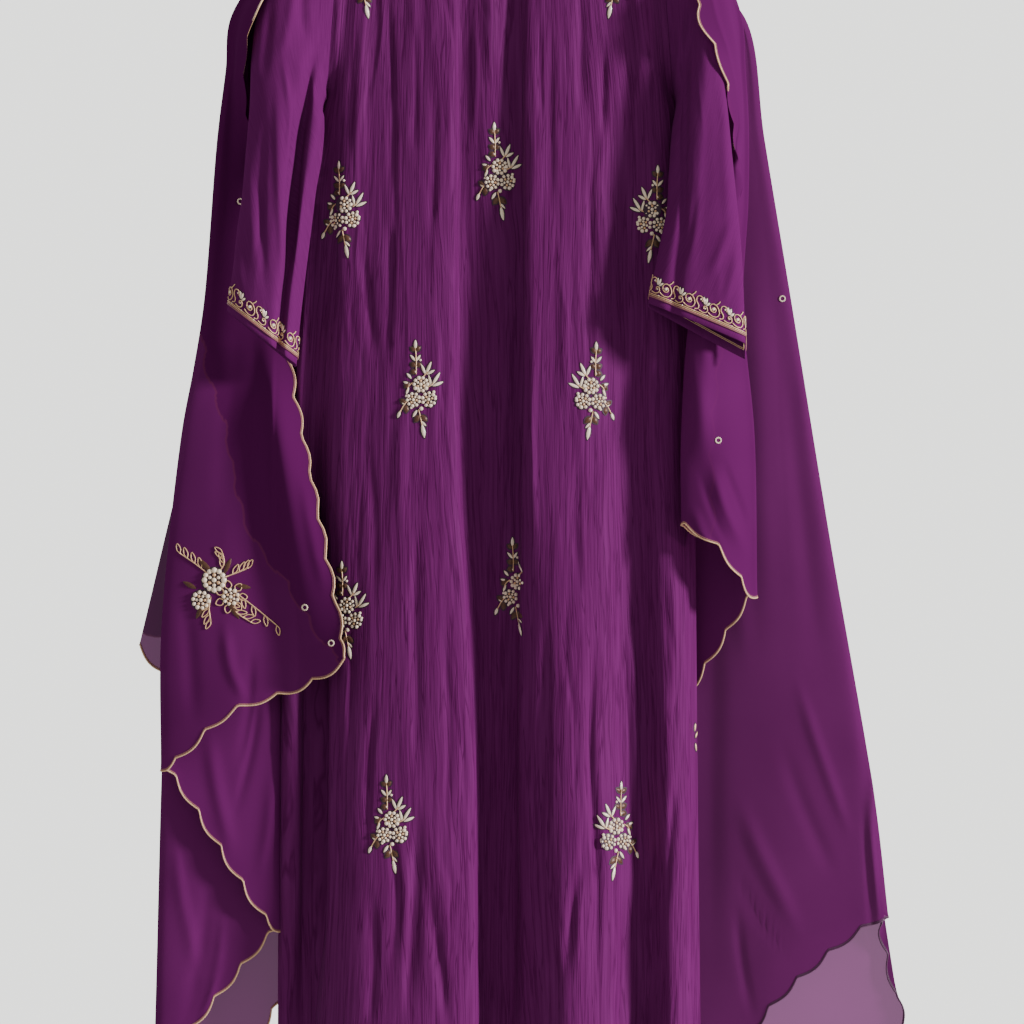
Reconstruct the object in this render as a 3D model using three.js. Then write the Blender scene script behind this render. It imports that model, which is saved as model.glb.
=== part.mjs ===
// An a-line suit on a hanger: a long kurta with three-quarter sleeves, and its dupatta.
// Millimetres. +Z is up, the front faces -Y, and the origin is where a rail carries the hook.
// Left and right are as seen from the front.
import * as THREE from 'three';

const { clamp, degToRad, lerp } = THREE.MathUtils;

// The two ways that the kurta's panels face.
const FRONT = -1;
const BACK = 1;

// Heights, measured down from the rail.
const NECK_POINT_Z = -80;
const SHOULDER_TIP_Z = -126;
const UNDERARM_Z = -353;
const HEM_Z = -1500;

// Widths and depths of the kurta.
const NECK_HALF = 85;
const SHOULDER_HALF = 190;
const UNDERARM_HALF = 208;
const FRONT_NECK_DROP = 110;
const BACK_NECK_DROP = 42;
const NECK_CURVE = 0.8;
const ARMHOLE_DEPTH = 22;
const SHOULDER_ROUND = 14;

// A side seam's round edge: a point on the seam, then two that turn the cloth away from it.
const SEAM_POINTS = 3;
const SIDE_TURN = 1.5;
const SIDE_TURN_DEPTH = 4.2;
const SIDE_INSET = 6;
const SIDE_INSET_DEPTH = 9;
const RIM_RISE = 0.5;

// Cloth walls, and the gap that each seam keeps.
const SILK = 1.8;
const ORGANZA = 1.3;
const SEAM_GAP = 0.3;

// The dupatta's worked edge.
const SCALLOP_PITCH = 50;
const SCALLOP_DEPTH = 6;
const SCALLOP_STEPS = 4;
const EDGE_SAMPLES = 40;
const INWARD_SHARE = 0.02;
const FOLD_RADIUS = 5;
const FOLD_REACH = 1.3;
const FLAT_SHARE = 0.25;
const NEVER = 2;
const BACK_EDGE_FROM = 0.25;
const CAP_X = 246;
const CAP_KEEP_Z = -232;

// The hanger.
const BAR_DEPTH = 10;
const BAR_DROP = 24;
const BAR_HALF = 166;
const BAR_CLEAR = 6;
const BAR_UNDERCUT = 5;
const BAR_NOSE = 3;
const WIRE_RADIUS = 2;
const HOOK_RADIUS = 22;

// How finely the pieces are stepped between the lines of their tables.
const SEAM_STEPS = 1;
const FOLD_STEPS = 2;
const SLEEVE_STEPS = { around: 2, down: 2 };
const DRAPE_STEPS = { across: 2, down: 3 };
const WIRE_STEPS = { along: 26, around: 8 };

const materials = {
  silk: new THREE.MeshStandardMaterial({ color: 0x5e2257, roughness: 0.55, metalness: 0 }),
  sleeveSilk: new THREE.MeshStandardMaterial({ color: 0x632a5c, roughness: 0.6, metalness: 0 }),
  organza: new THREE.MeshStandardMaterial({ color: 0x5a2354, roughness: 0.45, metalness: 0 }),
  wood: new THREE.MeshStandardMaterial({ color: 0xb98a5a, roughness: 0.5, metalness: 0 }),
  steel: new THREE.MeshStandardMaterial({ color: 0xc8c8cc, roughness: 0.25, metalness: 1 }),
};

// The heights of the columns in the two tables of folds below.
const FOLD_LEVELS = [NECK_POINT_Z, UNDERARM_Z, -720, -1160, HEM_Z];

// The front panel's folds, one row for each crest or valley, from left to right.
// x gives where it runs at each level, and y how far it stands out.
const FRONT_FOLDS = [
  { fold: 'side groove', x: [-176, -193, -221, -226, -228], y: [-13, -19, -4, 2, 5] },
  { fold: 'side crest', x: [-160, -178, -196, -205, -212], y: [-13, -24, -28, -34, -40] },
  { fold: 'panel left', x: [-132, -150, -162, -174, -182], y: [-13, -23, -36, -52, -62] },
  { fold: 'panel middle', x: [-108, -118, -118, -118, -112], y: [-13, -27, -43, -62, -74] },
  { fold: 'panel right', x: [-NECK_HALF, -76, -70, -50, -46], y: [-13, -31, -43, -60, -70] },
  { fold: 'panel edge', x: [-62, -55, -54, -31, -27], y: [-14, -29, -38, -52, -60] },
  { fold: 'centre valley left', x: [-44, -48, -47, -26, -22], y: [-14, -19, -14, -14, -13] },
  { fold: 'centre valley', x: [-16, -16, 2, 0, -2], y: [-14, -22, -11, -11, -10] },
  { fold: 'centre valley right', x: [16, 25, 27, 18, 14], y: [-14, -17, -13, -13, -12] },
  { fold: 'right lip', x: [38, 31, 29, 25, 30], y: [-14, -32, -42, -34, -34] },
  { fold: 'right crest', x: [62, 72, 66, 76, 78], y: [-14, -34, -47, -60, -70] },
  { fold: 'right shoulder', x: [NECK_HALF, 112, 116, 121, 125], y: [-13, -29, -40, -50, -57] },
  { fold: 'right valley', x: [124, 150, 156, 170, 174], y: [-13, -21, -19, -15, -13] },
  { fold: 'right side crest', x: [152, 178, 186, 200, 204], y: [-13, -26, -31, -40, -46] },
  { fold: 'right side', x: [174, 195, 213, 221, 225], y: [-13, -22, -24, -31, -37] },
];

// The back panel's folds, from right to left as the panel is seen from behind.
const BACK_FOLDS = [
  { fold: 'right side', x: [168, 186, 204, 206, 206], y: [13, 20, 19, 27, 34] },
  { fold: 'right crest', x: [128, 140, 140, 136, 134], y: [13, 25, 33, 44, 54] },
  { fold: 'right valley', x: [NECK_HALF, 84, 82, 78, 76], y: [13, 19, 16, 14, 12] },
  { fold: 'centre right', x: [34, 36, 34, 34, 34], y: [14, 26, 36, 48, 60] },
  { fold: 'centre valley', x: [0, -4, -10, -14, -16], y: [14, 20, 18, 16, 13] },
  { fold: 'centre left', x: [-36, -44, -56, -64, -66], y: [14, 26, 35, 47, 57] },
  { fold: 'left valley', x: [-NECK_HALF, -88, -108, -120, -122], y: [13, 19, 16, 14, 12] },
  { fold: 'left crest', x: [-132, -146, -162, -174, -178], y: [13, 25, 30, 42, 52] },
  { fold: 'left side', x: [-168, -188, -212, -222, -226], y: [13, 20, 18, 25, 32] },
];

// Where the side seams run in x, at their own heights.
const SIDE_LEVELS = [UNDERARM_Z, -420, -560, -720, -1160, HEM_Z];
const SIDE_X = {
  left: [-UNDERARM_HALF, -226, -238, -247, -258, -260],
  right: [UNDERARM_HALF, 219, 229, 234, 238, 242],
};

// Rows of the panels: drops below the upper edge, then heights down to the hem.
const TOP_DROPS = [0, 1.5, 5, 12, 34];
const PANEL_ROWS = [-234, -264, -298, -328, -346, UNDERARM_Z, -400, -470, -550, -630, -720, -810, -910, -1010,
  -1110, -1210, -1310, -1410, HEM_Z];

// Sleeve rings from the armhole to the cuff. out and in are the ring's ends in x and z, y is its middle,
// front and back its depths, and fold how deep the gather under the arm is.
const SLEEVE_RINGS = {
  left: [
    { ring: 'armhole', out: [-190, -126], in: [-208, -353], y: 0, front: 22, back: 22, fold: 0 },
    { ring: 'cap', out: [-226, -146], in: [-213, -362], y: -4, front: 28, back: 24, fold: 0.1 },
    { ring: 'shoulder', out: [-258, -178], in: [-214, -374], y: -10, front: 31, back: 22, fold: 0.4 },
    { ring: 'upper arm', out: [-283, -224], in: [-211, -392], y: -19, front: 30, back: 20, fold: 0.8 },
    { ring: 'arm', out: [-297, -300], in: [-213, -428], y: -27, front: 29, back: 16, fold: 1 },
    { ring: 'above elbow', out: [-299, -380], in: [-220, -470], y: -31, front: 28, back: 15, fold: 1 },
    { ring: 'elbow', out: [-306, -460], in: [-227, -524], y: -34, front: 27, back: 14, fold: 1 },
    { ring: 'forearm', out: [-316, -540], in: [-236, -598], y: -36, front: 26, back: 14, fold: 0.9 },
    { ring: 'cuff', out: [-326, -614], in: [-243, -678], y: -38, front: 24, back: 14, fold: 0.8 },
  ],
  right: [
    { ring: 'armhole', out: [190, -126], in: [208, -353], y: 0, front: 22, back: 22, fold: 0 },
    { ring: 'cap', out: [218, -144], in: [211, -362], y: -4, front: 28, back: 24, fold: 0.1 },
    { ring: 'shoulder', out: [243, -174], in: [210, -374], y: -10, front: 28, back: 24, fold: 0.2 },
    { ring: 'upper arm', out: [259, -224], in: [207, -390], y: -20, front: 27, back: 22, fold: 0.3 },
    { ring: 'arm', out: [266, -296], in: [204, -414], y: -32, front: 24, back: 18, fold: 0.4 },
    { ring: 'above elbow', out: [272, -380], in: [202, -448], y: -42, front: 21, back: 14, fold: 0.4 },
    { ring: 'elbow', out: [280, -460], in: [199, -492], y: -50, front: 19, back: 12, fold: 0.4 },
    { ring: 'forearm', out: [288, -550], in: [188, -546], y: -57, front: 17, back: 11, fold: 0.4 },
    { ring: 'cuff', out: [292, -654], in: [176, -606], y: -64, front: 16, back: 12, fold: 0.4 },
  ],
};

// A sleeve's section, once round from its outer end. across runs from the outer end (0) to the inner (1),
// depth is a share of the front or back depth, and gather how far the fold under the arm sinks it.
const SLEEVE_SECTION = [
  { point: 'outer end', across: 0, depth: 0, gather: 0 },
  { point: 'outer turn', across: 0.06, depth: 0.55, gather: 0 },
  { point: 'front outer', across: 0.26, depth: 0.95, gather: 0 },
  { point: 'front crest', across: 0.5, depth: 1, gather: -0.05 },
  { point: 'gather edge', across: 0.66, depth: 0.96, gather: 0.02 },
  { point: 'gather floor', across: 0.74, depth: 0.88, gather: 0.62 },
  { point: 'gather ridge', across: 0.84, depth: 0.76, gather: 0.12 },
  { point: 'inner turn', across: 0.94, depth: 0.5, gather: 0.22 },
  { point: 'inner end', across: 1, depth: 0, gather: 0 },
  { point: 'back inner turn', across: 0.92, depth: -0.62, gather: 0 },
  { point: 'back inner', across: 0.7, depth: -0.97, gather: 0.1 },
  { point: 'back outer', across: 0.32, depth: -1, gather: 0 },
  { point: 'back outer turn', across: 0.07, depth: -0.58, gather: 0 },
];

// Each stretch of the dupatta is a net of lines that run down it, one row each. top is a share of the
// back stretch's end, from its front edge to its back edge, at gives x, y at the levels, and hem x, y, z.
// tip is the side that a fold points to, and next whether the cloth goes on behind it (1) or in front (-1).
const LEFT_FRONT_LEVELS = [-255, -320, -400, -600, -680, -760, -1000];
const LEFT_FRONT_LINES = [
  { line: 'front edge', top: 0, hem: [-184, -80, -1028],
    at: [[-290, -56], [-307, -30], [-304, 4], [-264, 8], [-255, -6], [-239, -28], [-190, -74]] },
  { line: 'curl', top: 0.08, hem: [-214, -66, -1048],
    at: [[-297, -44], [-312, -20], [-309, 8], [-284, 9], [-277, -12], [-264, -42], [-224, -62]] },
  { line: 'hollow', top: 0.16, hem: [-252, -46, -1066],
    at: [[-304, -30], [-318, -8], [-316, 11], [-304, 8], [-297, -4], [-288, -24], [-262, -42]] },
  { line: 'face', top: 0.25, hem: [-322, -42, -1090],
    at: [[-312, -10], [-322, 8], [-325, 15], [-330, 8], [-332, 1], [-334, -16], [-330, -36]] },
  { line: 'left fold', tip: -1, next: 1, top: 0.38, hem: [-407, -20, -1158],
    at: [[-324, 6], [-332, 16], [-342, 18], [-358, 14], [-370, 8], [-384, 0], [-407, -16]] },
  { line: 'right fold', tip: 1, next: 1, top: 0.48, hem: [-263, -4, -1352],
    at: [[-306, 24], [-306, 29], [-300, 30], [-282, 29], [-275, 25], [-269, 18], [-264, 0]] },
  { line: 'lower left fold', tip: -1, next: 1, top: 0.58, hem: [-418, 10, -1514],
    at: [[-316, 34], [-326, 40], [-334, 41], [-350, 40], [-364, 37], [-380, 32], [-402, 16]] },
  { line: 'rear corner', top: 0.66, hem: [-342, 24, -1538],
    at: [[-292, 42], [-300, 49], [-302, 50], [-312, 50], [-318, 48], [-326, 44], [-338, 32]] },
  { line: 'rear edge', top: 0.72, hem: [-240, 46, -1394],
    at: [[-262, 44], [-258, 47], [-252, 50], [-246, 52], [-244, 52], [-242, 51], [-240, 48]] },
];

const LEFT_BACK_LEVELS = [-255, -400, -600, -760, -900];
const LEFT_BACK_LINES = [
  { line: 'outer edge', top: 0.74, at: [[-322, 52], [-338, 60], [-354, 60], [-380, 56], [-412, 50]],
    hem: [-439, 46, -1015] },
  { line: 'outer', top: 0.82, at: [[-300, 55], [-316, 66], [-330, 66], [-350, 60], [-376, 54]],
    hem: [-404, 50, -1051] },
  { line: 'middle', top: 0.9, at: [[-274, 57], [-282, 68], [-290, 69], [-306, 60], [-322, 54]],
    hem: [-340, 50, -1084] },
  { line: 'inner edge', top: 1, at: [[-252, 56], [-244, 62], [-242, 63], [-250, 60], [-262, 58]],
    hem: [-276, 56, -1126] },
];

const RIGHT_FRONT_LEVELS = [-255, -320, -390, -480, -608, -760];
const RIGHT_FRONT_LINES = [
  { line: 'front edge', top: 0, at: [[238, -60], [266, -52], [280, -34], [284, -20], [268, -14], [250, -28]],
    hem: [252, -32, -888] },
  { line: 'left fold', tip: -1, next: -1, top: 0.14, flat: [1, 1, 1, 0.9, 0.4],
    at: [[256, -54], [277, -42], [286, -26], [268, -28], [229, -30], [216, -42]], hem: [216, -46, -868] },
  { line: 'face', top: 0.28, at: [[274, -38], [287, -26], [292, -16], [284, -26], [262, -38], [262, -52]],
    hem: [264, -56, -896] },
  { line: 'right fold', tip: 1, next: 1, top: 0.42,
    at: [[290, -8], [296, 0], [300, 2], [299, -6], [292, -16], [305, -26]], hem: [308, -30, -950] },
  { line: 'rear middle', top: 0.56, at: [[288, 18], [288, 22], [286, 20], [282, 14], [266, 10], [268, 2]],
    hem: [262, 0, -1012] },
  { line: 'rear end', top: 0.68, at: [[262, 30], [258, 30], [256, 28], [252, 28], [248, 28], [240, 30]],
    hem: [216, 32, -1090] },
];

const RIGHT_BACK_LEVELS = [-255, -400, -600, -900, -1200];
const RIGHT_BACK_LINES = [
  { line: 'front end', top: 0.7, at: [[262, 38], [250, 42], [236, 48], [216, 60], [206, 70]],
    hem: [200, 76, -1524] },
  { line: 'front inner', top: 0.74, at: [[274, 38], [270, 42], [270, 44], [276, 50], [284, 58]],
    hem: [290, 62, -1496] },
  { line: 'front middle', top: 0.78, at: [[283, 38], [290, 40], [300, 42], [326, 44], [350, 48]],
    hem: [342, 52, -1440] },
  { line: 'front outer', top: 0.82, at: [[291, 40], [306, 41], [328, 41], [370, 42], [412, 44]],
    hem: [420, 46, -1372] },
  { line: 'outer fold', tip: 1, next: 1, top: 0.86,
    at: [[299, 45], [322, 47], [355, 47], [404, 48], [456, 50]], hem: [473, 52, -1344] },
  { line: 'rear side', top: 0.9, at: [[288, 53], [309, 56], [343, 57], [392, 58], [444, 60]],
    hem: [487, 62, -1466] },
  { line: 'rear corner', top: 0.93, at: [[279, 56], [298, 60], [328, 62], [374, 64], [424, 66]],
    hem: [482, 68, -1538] },
  { line: 'rear middle', top: 0.96, at: [[266, 58], [278, 64], [292, 67], [322, 71], [350, 75]],
    hem: [372, 79, -1566] },
  { line: 'rear end', top: 1, at: [[252, 60], [242, 68], [236, 72], [222, 80], [212, 86]],
    hem: [206, 90, -1572] },
];

// The back stretch lies over both shoulders and behind the neck. A row is a section from its front edge
// to its back edge, and the right half mirrors the left.
const BACK_DRAPE_SECTIONS = [
  { section: 'sleeve cap', points: [[-CAP_X, -46, -208], [-CAP_X, -30, -172], [-CAP_X, 0, -152],
    [-CAP_X, 26, -164], [-CAP_X, 42, -192], [-CAP_X, 52, -226]] },
  { section: 'shoulder', points: [[-176, -26, -140], [-172, -17, -120], [-170, 0, -107], [-170, 18, -122],
    [-172, 32, -190], [-172, 46, -320]] },
  { section: 'neck side', points: [[-92, 2, -76], [-90, 10, -75], [-88, 17, -80], [-86, 24, -96],
    [-86, 34, -180], [-86, 46, -370]] },
  { section: 'nape', points: [[0, 22, -112], [0, 24, -116], [0, 26, -124], [0, 30, -148],
    [0, 40, -220], [0, 50, -400]] },
];

const BAR_TOP = -62;
const HANGER_TOP = [[0, BAR_TOP], [20, -63], [38, -71], [58, -86], [NECK_HALF, -96]];
const HOOK_CENTRE_Z = -HOOK_RADIUS + WIRE_RADIUS;
const HOOK_SHANK = [[0, BAR_TOP + SEAM_GAP], [0, -56], [5, -48]];
const HOOK_ARC = { from: -40, to: 215, points: 9 };

/** A smooth curve through the points, open or closed. */
function curveThrough(points, closed = false) {
  return new THREE.CatmullRomCurve3(points, closed, 'centripetal');
}

/** The value at z of a column whose entries belong to the given levels, smoothly between them. */
function atLevel(levels, values, z) {
  const last = levels.length - 1;
  let k = 0;
  while (k < last - 1 && z < levels[k + 1]) {
    k += 1;
  }
  const span = levels[k + 1] - levels[k];
  const t = clamp((z - levels[k]) / span, 0, 1);
  const slope = i => {
    const a = Math.max(i - 1, 0);
    const b = Math.min(i + 1, last);
    return (values[b] - values[a]) / (levels[b] - levels[a]);
  };
  const h = t * t * (3 - 2 * t);
  const rise = (t - 1) * (t - 1) * t * slope(k) + (t - 1) * t * t * slope(k + 1);
  return values[k] + (values[k + 1] - values[k]) * h + rise * span;
}

/** Steps of equal length in each span between neighbouring lines, as values from 0 to 1. */
function spanSteps(spans, steps) {
  const values = [];
  for (let span = 0; span < spans; span += 1) {
    const count = Array.isArray(steps) ? steps[span] : steps;
    for (let step = 0; step < count; step += 1) {
      values.push((span + step / count) / spans);
    }
  }
  values.push(1);
  return values;
}

/** Triangles of a grid of points, rows running down; a closed grid joins its last column to its first. */
function gridSurface(rows, closed = false) {
  const columns = rows[0].length;
  const cells = closed ? columns : columns - 1;
  const triangles = [];
  for (let i = 0; i < rows.length - 1; i += 1) {
    for (let j = 0; j < cells; j += 1) {
      const here = i * columns + j;
      const next = i * columns + ((j + 1) % columns);
      triangles.push([here, here + columns, next + columns], [here, next + columns, next]);
    }
  }
  return { points: rows.flat(), triangles };
}

/** Closes a surface into a wall whose second skin lies a thickness behind it. */
function wallGeometry({ points, triangles }, thickness, keep = point => point) {
  const normals = points.map(() => new THREE.Vector3());
  for (const [a, b, c] of triangles) {
    const ab = points[b].clone().sub(points[a]);
    const face = ab.cross(points[c].clone().sub(points[a]));
    [a, b, c].forEach(k => normals[k].add(face));
  }
  const front = points.map(point => keep(point.clone()));
  const behind = points.map((point, k) => {
    const inward = normals[k].normalize().multiplyScalar(-thickness);
    return keep(point.clone().add(inward));
  });
  const count = points.length;
  const faces = [...triangles];
  const edges = new Set();
  for (const [a, b, c] of triangles) {
    faces.push([a + count, c + count, b + count]);
    [[a, b], [b, c], [c, a]].forEach(([from, to]) => edges.add(`${from}_${to}`));
  }
  for (const edge of edges) {
    const [from, to] = edge.split('_').map(Number);
    if (!edges.has(`${to}_${from}`)) {
      faces.push([to, from, from + count], [to, from + count, to + count]);
    }
  }
  const geometry = new THREE.BufferGeometry().setFromPoints([...front, ...behind]);
  geometry.setIndex(faces.flat());
  geometry.computeVertexNormals();
  return geometry;
}

/** Height of a panel's upper edge: the shoulder seam, or the round neckline between the neck points. */
function upperEdge(x, neckDrop) {
  const reach = Math.abs(x);
  if (reach >= NECK_HALF) {
    const share = (reach - NECK_HALF) / (SHOULDER_HALF - NECK_HALF);
    return NECK_POINT_Z + (SHOULDER_TIP_Z - NECK_POINT_Z) * share;
  }
  return NECK_POINT_Z - neckDrop * Math.cos(Math.PI / 2 * reach / NECK_HALF) ** NECK_CURVE;
}

/** Depth of the armhole's rim at a height; nothing at the shoulder tip and below the underarm. */
function armholeDepth(z) {
  const middle = (SHOULDER_TIP_Z + UNDERARM_Z) / 2;
  const share = (z - middle) / (SHOULDER_TIP_Z - middle);
  return ARMHOLE_DEPTH * Math.sqrt(Math.max(0, 1 - share * share));
}

/** The line of the armhole and side seam in x at a height. */
function sideX(side, z) {
  if (z > UNDERARM_Z) {
    const share = clamp((z - SHOULDER_TIP_Z) / (UNDERARM_Z - SHOULDER_TIP_Z), 0, 1);
    return Math.sign(SIDE_X[side][0]) * (SHOULDER_HALF + (UNDERARM_HALF - SHOULDER_HALF) * share);
  }
  return atLevel(SIDE_LEVELS, SIDE_X[side], z);
}

/** A panel's section at a height: its folds between the two rounded side seams. */
function panelSection(folds, facing, z) {
  const ends = ['left', 'right'].map(side => {
    const x = sideX(side, z);
    const rim = armholeDepth(z);
    const inward = -Math.sign(x);
    return [
      new THREE.Vector3(x, facing * rim, 0),
      new THREE.Vector3(x + inward * SIDE_TURN, facing * Math.max(SIDE_TURN_DEPTH, rim), 0),
      new THREE.Vector3(x + inward * SIDE_INSET, facing * Math.max(SIDE_INSET_DEPTH, rim + RIM_RISE), 0),
    ];
  });
  const middle = folds.map(({ x, y }) => new THREE.Vector3(
    atLevel(FOLD_LEVELS, x, z), atLevel(FOLD_LEVELS, y, z), 0));
  const [left, right] = ends;
  const points = facing === FRONT
    ? [...left, ...middle, ...right.reverse()]
    : [...right, ...middle, ...left.reverse()];
  return curveThrough(points);
}

/** A kurta panel: rows of its section from the shoulder seam and neckline down to the hem. */
function panelRows(folds, facing, neckDrop, across) {
  const rowCount = TOP_DROPS.length + PANEL_ROWS.length;
  const topSection = panelSection(folds, facing, NECK_POINT_Z);
  const sections = PANEL_ROWS.map(z => panelSection(folds, facing, z));
  const rows = [];
  for (let row = 0; row < rowCount; row += 1) {
    rows.push(across.map(u => {
      const topX = topSection.getPoint(u).x;
      const edge = upperEdge(topX, neckDrop);
      const inTop = row < TOP_DROPS.length;
      const drop = inTop ? TOP_DROPS[row] : 0;
      const z = inTop ? edge - drop : PANEL_ROWS[row - TOP_DROPS.length];
      const section = inTop ? panelSection(folds, facing, z) : sections[row - TOP_DROPS.length];
      const point = section.getPoint(u);
      const level = Math.max(0, 1 - (upperEdge(topX, 0) - z) / SHOULDER_ROUND);
      return new THREE.Vector3(point.x, point.y * Math.sqrt(1 - level * level), z);
    }));
  }
  return rows;
}

/** Keeps a panel's point on its own side of the seams. */
function keepPanel(facing) {
  return point => {
    const half = SEAM_GAP / 2;
    point.y = facing * Math.max(facing * point.y, half);
    return point;
  };
}

/** A sleeve's ring: the section's points between the ring's outer and inner ends. */
function sleeveRing(ring, side, steps) {
  const control = SLEEVE_SECTION.map(({ across, depth, gather }) => {
    const x = ring.out[0] + (ring.in[0] - ring.out[0]) * across;
    const z = ring.out[1] + (ring.in[1] - ring.out[1]) * across;
    const reach = depth > 0 ? ring.front : ring.back;
    const sunk = depth - gather * ring.fold * Math.sign(depth);
    return new THREE.Vector3(x, ring.y - reach * sunk, z);
  });
  const curve = curveThrough(control, true);
  const count = SLEEVE_SECTION.length * steps;
  const points = Array.from({ length: count }, (_, k) => curve.getPoint(k / count));
  return side === 'left' ? points : points.reverse();
}

/** The armhole's own ring follows the rim that the two panels leave open. */
function armholeRing(side, steps) {
  const count = SLEEVE_SECTION.length * steps;
  const sign = side === 'left' ? -1 : 1;
  const template = sleeveRing(SLEEVE_RINGS[side][0], 'left', steps);
  const points = Array.from({ length: count }, (_, k) => {
    const z = template[k].z;
    const depth = Math.sign(template[k].y) * armholeDepth(z);
    return new THREE.Vector3(sideX(side, z) + sign * SEAM_GAP, depth, z);
  });
  return side === 'left' ? points : points.reverse();
}

/** A sleeve: its rings joined smoothly from the armhole to the cuff. */
function sleeveRows(side, ringSteps, rowSteps) {
  const rings = SLEEVE_RINGS[side].slice(1).map(ring => sleeveRing(ring, side, ringSteps));
  rings.unshift(armholeRing(side, ringSteps));
  const lines = rings[0].map((_, k) => curveThrough(rings.map(ring => ring[k])));
  return spanSteps(rings.length - 1, rowSteps).map(v => lines.map(line => line.getPoint(v)));
}

/** Keeps a sleeve's point outside the armhole's seam. */
function keepSleeve(side) {
  return point => {
    if (point.z > UNDERARM_Z) {
      const seam = sideX(side, point.z) + Math.sign(sideX(side, point.z)) * SEAM_GAP;
      point.x = side === 'left' ? Math.min(point.x, seam) : Math.max(point.x, seam);
    }
    return point;
  };
}

/** The end of the back stretch over a sleeve's cap, which the falls go on from. */
function capEnd(side) {
  const sign = side === 'left' ? 1 : -1;
  const points = BACK_DRAPE_SECTIONS[0].points.map(([x, y, z]) => new THREE.Vector3(sign * x, y, z));
  return curveThrough(points);
}

/** The net of a dupatta stretch: levels of points, with two more lines beside each fold to turn it. */
function dupattaNet(lines, levels, side) {
  const end = capEnd(side);
  const outward = side === 'left' ? -SEAM_GAP : SEAM_GAP;
  const place = (line, level) => {
    if (level === 0) {
      return end.getPoint(line.top).add(new THREE.Vector3(outward, 0, 0));
    }
    if (level > levels.length) {
      return new THREE.Vector3(...line.hem);
    }
    const [x, y] = line.at[level - 1];
    return new THREE.Vector3(x, y, levels[level - 1]);
  };
  const net = [];
  for (let level = 0; level <= levels.length + 1; level += 1) {
    const row = lines.map(line => place(line, level));
    net.push(row.flatMap((point, k) => {
      const { tip, next, flat = [1] } = lines[k];
      if (!tip) {
        return [point];
      }
      const flatness = flat[level] ?? 0;
      const turn = [-1, 1].map(way => {
        const shift = new THREE.Vector3(-tip * FOLD_RADIUS * FOLD_REACH, way * next * FOLD_RADIUS, 0);
        const folded = point.clone().add(shift);
        return folded.lerp(point.clone().lerp(row[k + way], FLAT_SHARE), flatness);
      });
      return [turn[0], point, turn[1]];
    }));
  }
  return net;
}

/** A point of a net: u runs across its lines, v down its levels. */
function netPoint(net, u, v) {
  const down = net.map(level => curveThrough(level).getPoint(u));
  return curveThrough(down).getPoint(v);
}

/** How far the scalloped edge stands out at a distance along it. */
function scallop(distance) {
  return SCALLOP_DEPTH * Math.abs(Math.sin(Math.PI * distance / SCALLOP_PITCH));
}

/** A run of points with distances along an edge, and points added so that each scallop has its steps. */
function edgeRun(coarse, pointAt, outAt) {
  const fine = [];
  let distance = 0;
  let previous = pointAt(coarse[0]);
  let due = 0;
  const step = SCALLOP_PITCH / SCALLOP_STEPS;
  for (let k = 0; k < coarse.length; k += 1) {
    if (k > 0) {
      for (let s = 1; s <= EDGE_SAMPLES; s += 1) {
        const t = coarse[k - 1] + (coarse[k] - coarse[k - 1]) * s / EDGE_SAMPLES;
        const point = pointAt(t);
        distance += point.distanceTo(previous);
        previous = point;
        if (distance >= due + step && s < EDGE_SAMPLES) {
          due = Math.floor(distance / step) * step;
          fine.push({ cell: k - 1, point: point.clone().addScaledVector(outAt(t), scallop(distance)) });
        }
      }
    }
    fine.push({ corner: k, point: previous.clone().addScaledVector(outAt(coarse[k]), scallop(distance)) });
  }
  return fine;
}

/** The surface of a dupatta stretch, with scallops along its hem and, from given shares down, its sides. */
function dupattaSurface(net, across, down, { startFrom = NEVER, endFrom = NEVER }) {
  const rows = down.map(v => across.map(u => netPoint(net, u, v)));
  const lastRow = down.length - 1;
  const lastColumn = across.length - 1;
  const points = rows.flat();
  const index = (i, j) => i * across.length + j;
  const added = { hem: new Map(), start: new Map(), end: new Map() };
  const fit = (edge, run, corner) => {
    for (const entry of run) {
      if (entry.corner !== undefined) {
        points[corner(entry.corner)].copy(entry.point);
      } else {
        const cell = added[edge].get(entry.cell) ?? [];
        cell.push(points.length);
        added[edge].set(entry.cell, cell);
        points.push(entry.point);
      }
    }
  };
  const downward = u => netPoint(net, u, 1).sub(netPoint(net, u, 1 - INWARD_SHARE)).normalize();
  fit('hem', edgeRun(across, u => netPoint(net, u, 1), downward), j => index(lastRow, j));
  for (const [edge, u, inner, from, column] of [
    ['start', 0, INWARD_SHARE, startFrom, 0],
    ['end', 1, 1 - INWARD_SHARE, endFrom, lastColumn],
  ]) {
    const outward = v => netPoint(net, u, v).sub(netPoint(net, inner, v)).setZ(0).normalize();
    const reach = down.filter(v => v >= from);
    const first = down.length - reach.length;
    if (reach.length > 1) {
      const run = edgeRun(reach, v => netPoint(net, u, v), outward);
      const inside = run.filter(entry => entry.corner !== reach.length - 1);
      inside.forEach(entry => {
        if (entry.cell !== undefined) {
          entry.cell += first;
        }
      });
      fit(edge, inside, k => index(first + k, column));
    }
  }
  const triangles = [];
  for (let i = 0; i < lastRow; i += 1) {
    for (let j = 0; j < lastColumn; j += 1) {
      const hem = i === lastRow - 1 ? added.hem.get(j) ?? [] : [];
      const start = j === 0 ? added.start.get(i) ?? [] : [];
      const end = j === lastColumn - 1 ? added.end.get(i) ?? [] : [];
      const loop = start.length > 0
        ? [index(i, j + 1), index(i, j), ...start, index(i + 1, j), ...hem, index(i + 1, j + 1)]
        : [index(i, j), index(i + 1, j), ...hem, index(i + 1, j + 1), ...end.reverse(), index(i, j + 1)];
      for (let k = 1; k < loop.length - 1; k += 1) {
        triangles.push([loop[0], loop[k], loop[k + 1]]);
      }
    }
  }
  return { points, triangles };
}

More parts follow.
